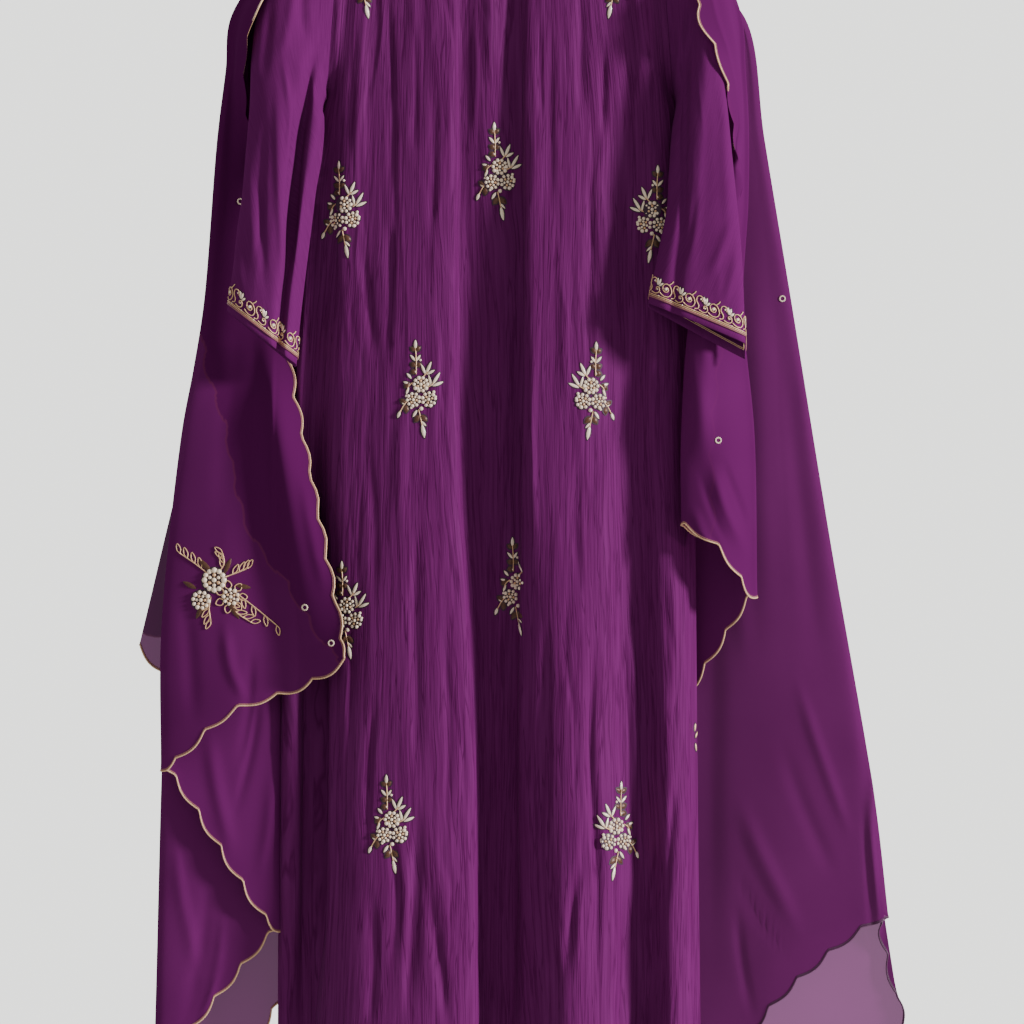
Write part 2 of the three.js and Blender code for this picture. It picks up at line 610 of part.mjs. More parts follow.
/** Turns a surface's triangles over. */
function turned({ points, triangles }) {
  return { points, triangles: triangles.map(([a, b, c]) => [a, c, b]) };
}

function kurtaPanel(facing) {
  const folds = facing === FRONT ? FRONT_FOLDS : BACK_FOLDS;
  const neckDrop = facing === FRONT ? FRONT_NECK_DROP : BACK_NECK_DROP;
  const spans = folds.length + 2 * SEAM_POINTS - 1;
  const steps = Array.from({ length: spans }, (_, k) => {
    const atSeam = k < SEAM_POINTS - 1 || k > spans - SEAM_POINTS;
    return atSeam ? SEAM_STEPS : FOLD_STEPS;
  });
  const rows = panelRows(folds, facing, neckDrop, spanSteps(spans, steps));
  return wallGeometry(gridSurface(rows), SILK, keepPanel(facing));
}

function sleeve(side) {
  const rows = sleeveRows(side, SLEEVE_STEPS.around, SLEEVE_STEPS.down);
  return wallGeometry(gridSurface(rows, true), SILK, keepSleeve(side));
}

function dupattaFall(side, { lines, levels, steps, rowSteps, edges, turnOver = false }) {
  const net = dupattaNet(lines, levels, side);
  const spans = net[0].length - 1;
  const across = spanSteps(spans, steps);
  const down = spanSteps(net.length - 1, rowSteps);
  const surface = dupattaSurface(net, across, down, edges);
  return wallGeometry(turnOver ? turned(surface) : surface, ORGANZA, keepFall(side));
}

/** Keeps a fall's point outside the end of the back stretch. */
function keepFall(side) {
  const sign = side === 'left' ? -1 : 1;
  return point => {
    if (point.z > CAP_KEEP_Z) {
      point.x = sign * Math.max(sign * point.x, CAP_X + SEAM_GAP);
    }
    return point;
  };
}

/** Keeps the back stretch's point inside its two ends. */
function keepDrape(point) {
  point.x = clamp(point.x, -CAP_X, CAP_X);
  return point;
}

function backDrape() {
  const left = BACK_DRAPE_SECTIONS.map(({ points }) => points.map(point => new THREE.Vector3(...point)));
  const right = left.slice(0, -1).reverse().map(points => points.map(p => new THREE.Vector3(-p.x, p.y, p.z)));
  const net = [...left, ...right];
  const across = spanSteps(net[0].length - 1, DRAPE_STEPS.across);
  const down = spanSteps(net.length - 1, DRAPE_STEPS.down);
  const rows = down.map(v => across.map(u => netPoint(net, u, v)));
  return wallGeometry(gridSurface(rows), ORGANZA, keepDrape);
}

function hangerBar() {
  const top = HANGER_TOP.map(([x, z]) => new THREE.Vector2(x, z));
  const tip = new THREE.Vector2(BAR_HALF, upperEdge(BAR_HALF, 0) - BAR_CLEAR);
  const right = [...top, tip];
  const nose = new THREE.Vector2(BAR_HALF + BAR_NOSE, tip.y - BAR_DROP / 2);
  const under = right.map(({ x, y }) => new THREE.Vector2(Math.max(0, x - BAR_UNDERCUT), y - BAR_DROP));
  const half = [...right, nose, ...under.reverse()];
  const mirrored = half.slice(1, -1).reverse().map(({ x, y }) => new THREE.Vector2(-x, y));
  const shape = new THREE.Shape([...half, ...mirrored]);
  const geometry = new THREE.ExtrudeGeometry(shape, { depth: BAR_DEPTH, bevelEnabled: false, steps: 1 });
  geometry.rotateX(Math.PI / 2);
  geometry.translate(0, BAR_DEPTH / 2, 0);
  return geometry;
}

function hangerHook() {
  const arc = Array.from({ length: HOOK_ARC.points }, (_, k) => {
    const share = k / (HOOK_ARC.points - 1);
    const angle = degToRad(lerp(HOOK_ARC.from, HOOK_ARC.to, share));
    return [HOOK_RADIUS * Math.cos(angle), HOOK_CENTRE_Z + HOOK_RADIUS * Math.sin(angle)];
  });
  const path = curveThrough([...HOOK_SHANK, ...arc].map(([x, z]) => new THREE.Vector3(x, 0, z)));
  const section = new THREE.Shape();
  section.absarc(0, 0, WIRE_RADIUS, 0, 2 * Math.PI);
  return new THREE.ExtrudeGeometry(section, {
    extrudePath: path, steps: WIRE_STEPS.along, curveSegments: WIRE_STEPS.around, bevelEnabled: false,
  });
}

/** Adds a named piece with its material to the suit. */
function add(group, name, geometry, material) {
  const mesh = new THREE.Mesh(geometry, material);
  mesh.name = name;
  group.add(mesh);
}

const suit = new THREE.Group();
add(suit, 'kurta_front', kurtaPanel(FRONT), materials.silk);
add(suit, 'kurta_back', kurtaPanel(BACK), materials.silk);
add(suit, 'sleeve_left', sleeve('left'), materials.sleeveSilk);
add(suit, 'sleeve_right', sleeve('right'), materials.sleeveSilk);
add(suit, 'dupatta_left_front_fall', dupattaFall('left', {
  lines: LEFT_FRONT_LINES, levels: LEFT_FRONT_LEVELS, steps: 1, rowSteps: 2,
  edges: { startFrom: 0 }, turnOver: true,
}), materials.organza);
add(suit, 'dupatta_left_back_fall', dupattaFall('left', {
  lines: LEFT_BACK_LINES, levels: LEFT_BACK_LEVELS, steps: 2, rowSteps: 2,
  edges: { endFrom: BACK_EDGE_FROM },
}), materials.organza);
add(suit, 'dupatta_right_front_fall', dupattaFall('right', {
  lines: RIGHT_FRONT_LINES, levels: RIGHT_FRONT_LEVELS, steps: 1, rowSteps: 2, edges: { startFrom: 0 },
}), materials.organza);
add(suit, 'dupatta_right_back_fall', dupattaFall('right', {
  lines: RIGHT_BACK_LINES, levels: RIGHT_BACK_LEVELS, steps: 1, rowSteps: 3,
  edges: { endFrom: BACK_EDGE_FROM },
}), materials.organza);
add(suit, 'dupatta_back_drape', backDrape(), materials.organza);
add(suit, 'hanger_bar', hangerBar(), materials.wood);
add(suit, 'hanger_hook', hangerHook(), materials.steel);

export default suit;
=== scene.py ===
"""Looks for an a-line suit on a hanger: a crinkled silk kurta and its sheer scalloped dupatta.

The tables of folds, rings and lines repeat those of the solids. They are in millimetres, with +Z up, the
front facing -Y, and the origin where a rail carries the hook. Left and right are as seen from the front.
"""
import math

import bpy
import numpy as np
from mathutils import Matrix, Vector
from mathutils.bvhtree import BVHTree


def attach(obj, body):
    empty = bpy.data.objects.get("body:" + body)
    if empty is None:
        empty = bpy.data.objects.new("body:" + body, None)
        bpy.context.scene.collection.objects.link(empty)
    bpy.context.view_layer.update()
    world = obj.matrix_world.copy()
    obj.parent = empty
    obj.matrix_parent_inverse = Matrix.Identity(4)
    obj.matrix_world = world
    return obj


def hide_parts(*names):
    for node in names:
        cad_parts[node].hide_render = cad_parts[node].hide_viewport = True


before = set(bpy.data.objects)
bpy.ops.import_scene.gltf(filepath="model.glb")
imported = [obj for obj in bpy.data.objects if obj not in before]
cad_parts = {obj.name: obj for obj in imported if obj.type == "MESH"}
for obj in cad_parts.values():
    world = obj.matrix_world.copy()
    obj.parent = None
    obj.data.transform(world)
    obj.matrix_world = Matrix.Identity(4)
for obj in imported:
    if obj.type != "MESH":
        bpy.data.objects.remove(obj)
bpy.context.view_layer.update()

MM = 0.001

# ---- Sizes, in millimetres -------------------------------------------------------------------------------

NECK_POINT_Z = -80
SHOULDER_TIP_Z = -126
UNDERARM_Z = -353
YOKE_Z = -240
HEM_Z = -1500

NECK_HALF = 85
SHOULDER_HALF = 190
UNDERARM_HALF = 208
FRONT_NECK_DROP = 110
BACK_NECK_DROP = 42
ARMHOLE_DEPTH = 22
SHOULDER_ROUND = 14
SIDE_ROUND = 7
SEAM_GAP = 0.3

SCALLOP_PITCH = 50
SCALLOP_DEPTH = 7
SCALLOP_FADE = 26
COLUMN_PITCH = SCALLOP_PITCH / 11
COLUMNS_A_SPAN = 4
FOLD_RADIUS = 5
FOLD_REACH = 1.3
FLAT_SHARE = 0.25
CAP_X = 246
CAP_KEEP_Z = -232

BAR_DEPTH = 10
BAR_DROP = 24
BAR_HALF = 166
BAR_CLEAR = 6
WIRE_RADIUS = 2
HOOK_RADIUS = 22

FRONT = -1
BACK = 1
LEFT = -1
RIGHT = 1

# ---- The kurta's tables ----------------------------------------------------------------------------------

# The heights of the columns in the two tables of folds below.
FOLD_LEVELS = [NECK_POINT_Z, UNDERARM_Z, -720, -1160, HEM_Z]

# fold, its x at each level, its y at each level
FRONT_FOLDS = [
    ("side groove", [-176, -193, -221, -226, -228], [-13, -19, -4, 2, 5]),
    ("side crest", [-160, -178, -196, -205, -212], [-13, -24, -28, -34, -40]),
    ("panel left", [-132, -150, -162, -174, -182], [-13, -23, -36, -52, -62]),
    ("panel middle", [-108, -118, -118, -118, -112], [-13, -27, -43, -62, -74]),
    ("panel right", [-NECK_HALF, -76, -70, -50, -46], [-13, -31, -43, -60, -70]),
    ("panel edge", [-62, -55, -54, -31, -27], [-14, -29, -38, -52, -60]),
    ("centre valley left", [-44, -48, -47, -26, -22], [-14, -19, -14, -14, -13]),
    ("centre valley", [-16, -16, 2, 0, -2], [-14, -22, -11, -11, -10]),
    ("centre valley right", [16, 25, 27, 18, 14], [-14, -17, -13, -13, -12]),
    ("right lip", [38, 31, 29, 25, 30], [-14, -32, -42, -34, -34]),
    ("right crest", [62, 72, 66, 76, 78], [-14, -34, -47, -60, -70]),
    ("right shoulder", [NECK_HALF, 112, 116, 121, 125], [-13, -29, -40, -50, -57]),
    ("right valley", [124, 150, 156, 170, 174], [-13, -21, -19, -15, -13]),
    ("right side crest", [152, 178, 186, 200, 204], [-13, -26, -31, -40, -46]),
    ("right side", [174, 195, 213, 221, 225], [-13, -22, -24, -31, -37]),
]

BACK_FOLDS = [
    ("right side", [168, 186, 204, 206, 206], [13, 20, 19, 27, 34]),
    ("right crest", [128, 140, 140, 136, 134], [13, 25, 33, 44, 54]),
    ("right valley", [NECK_HALF, 84, 82, 78, 76], [13, 19, 16, 14, 12]),
    ("centre right", [34, 36, 34, 34, 34], [14, 26, 36, 48, 60]),
    ("centre valley", [0, -4, -10, -14, -16], [14, 20, 18, 16, 13]),
    ("centre left", [-36, -44, -56, -64, -66], [14, 26, 35, 47, 57]),
    ("left valley", [-NECK_HALF, -88, -108, -120, -122], [13, 19, 16, 14, 12]),
    ("left crest", [-132, -146, -162, -174, -178], [13, 25, 30, 42, 52]),
    ("left side", [-168, -188, -212, -222, -226], [13, 20, 18, 25, 32]),
]

SIDE_LEVELS = [UNDERARM_Z, -420, -560, -720, -1160, HEM_Z]
SIDE_X = {
    LEFT: [-UNDERARM_HALF, -226, -238, -247, -258, -260],
    RIGHT: [UNDERARM_HALF, 219, 229, 234, 238, 242],
}
SIDE_TURN = 1.5
SIDE_INSET = 6

# ---- The sleeves' tables ---------------------------------------------------------------------------------

# ring, its outer end x, z, its inner end x, z, its middle y, front depth, back depth, how deep the gather is
SLEEVE_RINGS = {
    LEFT: [
        ("armhole", (-190, -126), (-208, -353), 0, 22, 22, 0),
        ("cap", (-226, -146), (-213, -362), -4, 28, 24, 0.1),
        ("shoulder", (-258, -178), (-214, -374), -10, 31, 22, 0.4),
        ("upper arm", (-283, -224), (-211, -392), -19, 30, 20, 0.8),
        ("arm", (-297, -300), (-213, -428), -27, 29, 16, 1),
        ("above elbow", (-299, -380), (-220, -470), -31, 28, 15, 1),
        ("elbow", (-306, -460), (-227, -524), -34, 27, 14, 1),
        ("forearm", (-316, -540), (-236, -598), -36, 26, 14, 0.9),
        ("cuff", (-326, -614), (-243, -678), -38, 24, 14, 0.8),
    ],
    RIGHT: [
        ("armhole", (190, -126), (208, -353), 0, 22, 22, 0),
        ("cap", (218, -144), (211, -362), -4, 28, 24, 0.1),
        ("shoulder", (243, -174), (210, -374), -10, 28, 24, 0.2),
        ("upper arm", (259, -224), (207, -390), -20, 27, 22, 0.3),
        ("arm", (266, -296), (204, -414), -32, 24, 18, 0.4),
        ("above elbow", (272, -380), (202, -448), -42, 21, 14, 0.4),
        ("elbow", (280, -460), (199, -492), -50, 19, 12, 0.4),
        ("forearm", (288, -550), (188, -546), -57, 17, 11, 0.4),
        ("cuff", (292, -654), (176, -606), -64, 16, 12, 0.4),
    ],
}

# point, how far across, share of the depth, how far the gather sinks it
SLEEVE_SECTION = [
    ("outer end", 0, 0, 0),
    ("outer turn", 0.06, 0.55, 0),
    ("front outer", 0.26, 0.95, 0),
    ("front crest", 0.5, 1, -0.05),
    ("gather edge", 0.66, 0.96, 0.02),
    ("gather floor", 0.74, 0.88, 0.62),
    ("gather ridge", 0.84, 0.76, 0.12),
    ("inner turn", 0.94, 0.5, 0.22),
    ("inner end", 1, 0, 0),
    ("back inner turn", 0.92, -0.62, 0),
    ("back inner", 0.7, -0.97, 0.1),
    ("back outer", 0.32, -1, 0),
    ("back outer turn", 0.07, -0.58, 0),
]

# ---- The dupatta's tables --------------------------------------------------------------------------------

# line, top share, x and y at each level, hem x, y, z, and for a fold its tip side, the side of the cloth
# that goes on, and how flat it is at each level
LEFT_FRONT_LEVELS = [-255, -320, -400, -600, -680, -760, -1000]
LEFT_FRONT_LINES = [
    ("front edge", 0, [(-290, -56), (-307, -30), (-304, 4), (-264, 8), (-255, -6), (-239, -28), (-190, -74)],
     (-184, -80, -1028)),
    ("curl", 0.08, [(-297, -44), (-312, -20), (-309, 8), (-284, 9), (-277, -12), (-264, -42), (-224, -62)],
     (-214, -66, -1048)),
    ("hollow", 0.16, [(-304, -30), (-318, -8), (-316, 11), (-304, 8), (-297, -4), (-288, -24), (-262, -42)],
     (-252, -46, -1066)),
    ("face", 0.25, [(-312, -10), (-322, 8), (-325, 15), (-330, 8), (-332, 1), (-334, -16), (-330, -36)],
     (-322, -42, -1090)),
    ("left fold", 0.38, [(-324, 6), (-332, 16), (-342, 18), (-358, 14), (-370, 8), (-384, 0), (-407, -16)],
     (-407, -20, -1158), -1, 1),
    ("right fold", 0.48, [(-306, 24), (-306, 29), (-300, 30), (-282, 29), (-275, 25), (-269, 18), (-264, 0)],
     (-263, -4, -1352), 1, 1),
    ("lower left fold", 0.58,
     [(-316, 34), (-326, 40), (-334, 41), (-350, 40), (-364, 37), (-380, 32), (-402, 16)],
     (-418, 10, -1514), -1, 1),
    ("rear corner", 0.66,
     [(-292, 42), (-300, 49), (-302, 50), (-312, 50), (-318, 48), (-326, 44), (-338, 32)],
     (-342, 24, -1538)),
    ("rear edge", 0.72, [(-262, 44), (-258, 47), (-252, 50), (-246, 52), (-244, 52), (-242, 51), (-240, 48)],
     (-240, 46, -1394)),
]

LEFT_BACK_LEVELS = [-255, -400, -600, -760, -900]
LEFT_BACK_LINES = [
    ("outer edge", 0.74, [(-322, 52), (-338, 60), (-354, 60), (-380, 56), (-412, 50)], (-439, 46, -1015)),
    ("outer", 0.82, [(-300, 55), (-316, 66), (-330, 66), (-350, 60), (-376, 54)], (-404, 50, -1051)),
    ("middle", 0.9, [(-274, 57), (-282, 68), (-290, 69), (-306, 60), (-322, 54)], (-340, 50, -1084)),
    ("inner edge", 1, [(-252, 56), (-244, 62), (-242, 63), (-250, 60), (-262, 58)], (-276, 56, -1126)),
]

RIGHT_FRONT_LEVELS = [-255, -320, -390, -480, -608, -760]
RIGHT_FRONT_LINES = [
    ("front edge", 0, [(238, -60), (266, -52), (280, -34), (284, -20), (268, -14), (250, -28)],
     (252, -32, -888)),
    ("left fold", 0.14, [(256, -54), (277, -42), (286, -26), (268, -28), (229, -30), (216, -42)],
     (216, -46, -868), -1, -1, [1, 1, 1, 0.9, 0.4]),
    ("face", 0.28, [(274, -38), (287, -26), (292, -16), (284, -26), (262, -38), (262, -52)],
     (264, -56, -896)),
    ("right fold", 0.42, [(290, -8), (296, 0), (300, 2), (299, -6), (292, -16), (305, -26)],
     (308, -30, -950), 1, 1),
    ("rear middle", 0.56, [(288, 18), (288, 22), (286, 20), (282, 14), (266, 10), (268, 2)],
     (262, 0, -1012)),
    ("rear end", 0.68, [(262, 30), (258, 30), (256, 28), (252, 28), (248, 28), (240, 30)],
     (216, 32, -1090)),
]

RIGHT_BACK_LEVELS = [-255, -400, -600, -900, -1200]
RIGHT_BACK_LINES = [
    ("front end", 0.7, [(262, 38), (250, 42), (236, 48), (216, 60), (206, 70)], (200, 76, -1524)),
    ("front inner", 0.74, [(274, 38), (270, 42), (270, 44), (276, 50), (284, 58)], (290, 62, -1496)),
    ("front middle", 0.78, [(283, 38), (290, 40), (300, 42), (326, 44), (350, 48)], (342, 52, -1440)),
    ("front outer", 0.82, [(291, 40), (306, 41), (328, 41), (370, 42), (412, 44)], (420, 46, -1372)),
    ("outer fold", 0.86, [(299, 45), (322, 47), (355, 47), (404, 48), (456, 50)], (473, 52, -1344), 1, 1),
    ("rear side", 0.9, [(288, 53), (309, 56), (343, 57), (392, 58), (444, 60)], (487, 62, -1466)),
    ("rear corner", 0.93, [(279, 56), (298, 60), (328, 62), (374, 64), (424, 66)], (482, 68, -1538)),
    ("rear middle", 0.96, [(266, 58), (278, 64), (292, 67), (322, 71), (350, 75)], (372, 79, -1566)),
    ("rear end", 1, [(252, 60), (242, 68), (236, 72), (222, 80), (212, 86)], (206, 90, -1572)),
]

# section, its points from the front edge to the back edge; the right half mirrors the left
BACK_DRAPE_SECTIONS = [
    ("sleeve cap", [(-CAP_X, -46, -208), (-CAP_X, -30, -172), (-CAP_X, 0, -152), (-CAP_X, 26, -164),
                    (-CAP_X, 42, -192), (-CAP_X, 52, -226)]),
    ("shoulder", [(-176, -26, -140), (-172, -17, -120), (-170, 0, -107), (-170, 18, -122),
                  (-172, 32, -190), (-172, 46, -320)]),
    ("neck side", [(-92, 2, -76), (-90, 10, -75), (-88, 17, -80), (-86, 24, -96), (-86, 34, -180),
                   (-86, 46, -370)]),
    ("nape", [(0, 22, -112), (0, 24, -116), (0, 26, -124), (0, 30, -148), (0, 40, -220), (0, 50, -400)]),
]

BAR_TOP = -62
HANGER_TOP = [(0, BAR_TOP), (20, -63), (38, -71), (58, -86), (NECK_HALF, -96)]
HOOK_CENTRE_Z = -HOOK_RADIUS + WIRE_RADIUS
HOOK_SHANK = [(0, BAR_TOP + SEAM_GAP), (0, -56), (5, -48)]
HOOK_FROM, HOOK_TO, HOOK_POINTS = -40, 215, 9


# ---- Curves and grids ------------------------------------------------------------------------------------

def smooth(points, at, closed=False, paired=False):
    """The centripetal curve through points, along their first axis, at shares of it from 0 to 1.

    With paired, the second axis holds one set of points for each share.
    """
    points = np.asarray(points, float)
    spans = len(points) if closed else len(points) - 1
    if closed:
        padded = np.concatenate([points[-1:], points, points[:2]])
    else:
        padded = np.concatenate([2 * points[:1] - points[1:2], points, 2 * points[-1:] - points[-2:-1]])
    place = np.asarray(at, float) * spans
    span = np.clip(place.astype(int), 0, spans - 1)
    t = place - span
    if paired:
        which = np.arange(len(span))
        p0, p1, p2, p3 = (padded[span + k, which] for k in range(4))
        t = t[:, None]
    else:
        p0, p1, p2, p3 = (padded[span + k] for k in range(4))
        t = t.reshape(-1, *[1] * (points.ndim - 1))

    def knot(a, b):
        return np.maximum(((b - a) ** 2).sum(axis=-1, keepdims=True), 1e-12) ** 0.25

    d0, d1, d2 = knot(p0, p1), knot(p1, p2), knot(p2, p3)
    m1 = ((p1 - p0) / d0 - (p2 - p0) / (d0 + d1) + (p2 - p1) / d1) * d1
    m2 = ((p2 - p1) / d1 - (p3 - p1) / (d1 + d2) + (p3 - p2) / d2) * d1
    bend = -3 * p1 + 3 * p2 - 2 * m1 - m2
    return p1 + m1 * t + bend * t ** 2 + (2 * p1 - 2 * p2 + m1 + m2) * t ** 3


def at_level(levels, values, z):
    """A column's values at the heights z, smoothly between its levels."""
    levels, values = np.array(levels, float), np.array(values, float)
    last = len(levels) - 1
    k = np.minimum(np.searchsorted(-levels[1:], -z, side="left"), last - 1)
    below, above = np.maximum(np.arange(last + 1) - 1, 0), np.minimum(np.arange(last + 1) + 1, last)
    slope = (values[above] - values[below]) / (levels[above] - levels[below])
    span = levels[k + 1] - levels[k]
    t = np.clip((z - levels[k]) / span, 0, 1)
    rise = (t - 1) ** 2 * t * slope[k] + (t - 1) * t * t * slope[k + 1]
    return values[k] + (values[k + 1] - values[k]) * t * t * (3 - 2 * t) + rise * span


def span_steps(counts):
    """Shares from 0 to 1 that cut each span between neighbouring lines into its count of steps."""
    steps = [(span + step / count) / len(counts)
             for span, count in enumerate(counts) for step in range(count)]
    return np.array(steps + [1.0])


def lengths(line):
    """Distances along a line of points."""
    return np.concatenate([[0], np.cumsum(np.linalg.norm(np.diff(line, axis=0), axis=1))])


def unit(vectors):
    return vectors / np.maximum(np.linalg.norm(vectors, axis=-1, keepdims=True), 1e-9)


def grid_normals(grid, closed=False):
    """Normals of a grid whose rows run down and whose columns run to the right as seen from outside."""
    if closed:
        across = np.roll(grid, -1, axis=1) - np.roll(grid, 1, axis=1)
    else:
        across = np.gradient(grid, axis=1)
    return unit(np.cross(np.gradient(grid, axis=0), across))


def fade(distance, reach):
    """0 at the edge, rising smoothly to 1 at the reach."""
    share = np.clip(distance / reach, 0, 1)
    return share * share * (3 - 2 * share)


# ---- The kurta's panels ----------------------------------------------------------------------------------

def upper_edge(x, neck_drop):
    reach = np.abs(x)
    share = (reach - NECK_HALF) / (SHOULDER_HALF - NECK_HALF)
    seam = NECK_POINT_Z + (SHOULDER_TIP_Z - NECK_POINT_Z) * share
    bow = np.cos(np.pi / 2 * np.minimum(reach / NECK_HALF, 1))
    return np.where(reach >= NECK_HALF, seam, NECK_POINT_Z - neck_drop * np.maximum(bow, 0) ** 0.8)


def armhole_depth(z):
    middle = (SHOULDER_TIP_Z + UNDERARM_Z) / 2
    share = (z - middle) / (SHOULDER_TIP_Z - middle)
    return ARMHOLE_DEPTH * np.sqrt(np.maximum(0, 1 - share * share))


def side_x(side, z):
    share = np.clip((z - SHOULDER_TIP_Z) / (UNDERARM_Z - SHOULDER_TIP_Z), 0, 1)
    armhole = side * (SHOULDER_HALF + (UNDERARM_HALF - SHOULDER_HALF) * share)
    return np.where(z > UNDERARM_Z, armhole, at_level(SIDE_LEVELS, SIDE_X[side], z))


def panel_controls(folds, facing, z):
    """A panel's section at each height in z: its folds between the two rounded side seams."""
    rim = armhole_depth(z)

    def seam(side):
        x = side_x(side, z)
        return [
            (x, facing * rim),
            (x - side * SIDE_TURN, facing * np.maximum(SIDE_ROUND * 0.6, rim)),
            (x - side * SIDE_INSET, facing * np.maximum(SIDE_ROUND + 2, rim + 0.5)),
        ]

    middle = [(at_level(FOLD_LEVELS, x, z), at_level(FOLD_LEVELS, y, z)) for _, x, y in folds]
    first, last = (seam(LEFT), seam(RIGHT)) if facing == FRONT else (seam(RIGHT), seam(LEFT))
    return np.array(first + middle + last[::-1]).transpose(0, 2, 1)


def panel_grid(folds, facing, neck_drop, fold_steps, yoke_rows, rows):
    """A panel's smooth surface from its shoulder seam and neckline down to the hem."""
    counts = [3, 3] + [fold_steps] * (len(folds) + 1) + [3, 3]
    u = span_steps(counts)
    top_x = smooth(panel_controls(folds, facing, np.full(len(u), float(NECK_POINT_Z))), u, paired=True)[:, 0]
    edge, shoulder = upper_edge(top_x, neck_drop), upper_edge(top_x, 0)
    heights = [edge + (YOKE_Z - edge) * share ** 1.6 for share in np.linspace(0, 1, yoke_rows)]
    heights += [np.full(len(u), z) for z in np.linspace(YOKE_Z, HEM_Z, rows)[1:]]
    grid = []
    for z in heights:
        point = smooth(panel_controls(folds, facing, z), u, paired=True)
        level = np.clip(1 - (shoulder - z) / SHOULDER_ROUND, 0, 1)
        depth = facing * np.maximum(facing * point[:, 1] * np.sqrt(1 - level * level), SEAM_GAP / 2)
        grid.append(np.stack([point[:, 0], depth, z], axis=-1))
    return np.array(grid)


# ---- The sleeves -----------------------------------------------------------------------------------------

def sleeve_ring(ring, steps):
    _, outer, inner, middle, front, back, gather = ring
    control = []
    for _, across, depth, sink in SLEEVE_SECTION:
        x = outer[0] + (inner[0] - outer[0]) * across
        z = outer[1] + (inner[1] - outer[1]) * across
        reach = front if depth > 0 else back
        control.append((x, middle - reach * (depth - sink * gather * np.sign(depth)), z))
    count = len(SLEEVE_SECTION) * steps
    return smooth(control, np.arange(count) / count, closed=True)


def sleeve_grid(side, ring_steps, row_steps):
    """A sleeve's smooth surface from the armhole to the cuff, closed round its columns."""
    rings = [sleeve_ring(ring, ring_steps) for ring in SLEEVE_RINGS[side]]
    z = rings[0][:, 2]
    rim = np.sign(rings[0][:, 1]) * armhole_depth(z)
    rings[0] = np.stack([side_x(side, z) + side * SEAM_GAP, rim, z], axis=-1)
    grid = smooth(np.array(rings), span_steps([row_steps] * (len(rings) - 1)))
    seam = side_x(side, grid[..., 2]) + side * SEAM_GAP
    kept = side * np.maximum(side * grid[..., 0], side * seam)
    grid[..., 0] = np.where(grid[..., 2] > UNDERARM_Z, kept, grid[..., 0])
    return grid if side == LEFT else grid[:, ::-1]


# ---- The dupatta -----------------------------------------------------------------------------------------

def cap_end(side, share):
    points = [(-side * x, y, z) for x, y, z in BACK_DRAPE_SECTIONS[0][1]]
    return smooth(points, [share])[0]


def dupatta_net(lines, levels, side):
    """A stretch's net: levels of points down it, with two more lines beside each fold to turn it."""
    net = []
    for level in range(len(levels) + 2):
        row = []
        for line in lines:
            if level == 0:
                row.append(cap_end(side, line[1]) + np.array([side * SEAM_GAP, 0, 0]))
            elif level > len(levels):
                row.append(np.array(line[3], float))
            else:
                row.append(np.array([*line[2][level - 1], levels[level - 1]], float))
        turned = []
        for k, (point, line) in enumerate(zip(row, lines)):
            if len(line) == 4:
                turned.append(point)
                continue
            tip, following = line[4], line[5]
            flat = line[6] if len(line) > 6 else [1]
            flatness = flat[level] if level < len(flat) else 0
            for way in (-1, 1):
                shift = np.array([-tip * FOLD_RADIUS * FOLD_REACH, way * following * FOLD_RADIUS, 0])
                level_point = point + (row[k + way] - point) * FLAT_SHARE
                turned.append(point + shift + (level_point - point - shift) * flatness)
                if way < 0:
                    turned.append(point)
        net.append(turned)
    return np.array(net)


def net_grid(net, across, down):
    levels = np.array([smooth(level, across) for level in net])
    return smooth(levels, down)


def hem_columns(net, spacing, span_share):
    """Shares across a net that follow the length of its hem, with some more for each span."""
    fine = np.linspace(0, 1, 4000)
    spans = net.shape[1] - 1
    weight = lengths(net_grid(net, fine, [1.0])[0]) / spacing + fine * spans * span_share
    return np.interp(np.linspace(0, weight[-1], int(weight[-1]) + 1), weight, fine)


def scallop(distance):
    return SCALLOP_DEPTH * np.abs(np.sin(np.pi * distance / SCALLOP_PITCH))


def scallop_hem(grid):
    """Moves the hem row out in scallops, and the rows above it by less and less."""
    out = grid[-1] - grid[-4]
    way = unit(np.gradient(grid[-1], axis=0))
    out = unit(out - way * (out * way).sum(axis=-1, keepdims=True))
    push = scallop(lengths(grid[-1]))
    above = grid[-1].copy()
    for row in range(len(grid) - 1, 0, -1):
        gap = np.linalg.norm(grid[row] - above, axis=-1)
        share = np.clip(1 - gap / SCALLOP_FADE, 0, 1) ** 2
        if share.max() <= 0:
            break
        grid[row] += out * (push * share)[:, None]


def scallop_side(grid, column, first_row):
    """Moves the first or last column out in scallops, and its neighbours by less and less."""
    inward = 1 if column == 0 else -1
    out = grid[:, column] - grid[:, column + 4 * inward]
    out[:, 2] = 0
    out = unit(out)
    distance = lengths(grid[:, column])
    distance -= distance[first_row]
    push = scallop(distance) * fade(distance[-1] - distance, SCALLOP_PITCH / 2) * (distance > 0)
    edge = grid[:, column].copy()
    for step in range(grid.shape[1] // 3):
        place = column + step * inward
        gap = np.linalg.norm(grid[:, place] - edge, axis=-1)
        share = np.clip(1 - gap / SCALLOP_FADE, 0, 1) ** 2
        grid[:, place] += out * (push * share)[:, None]


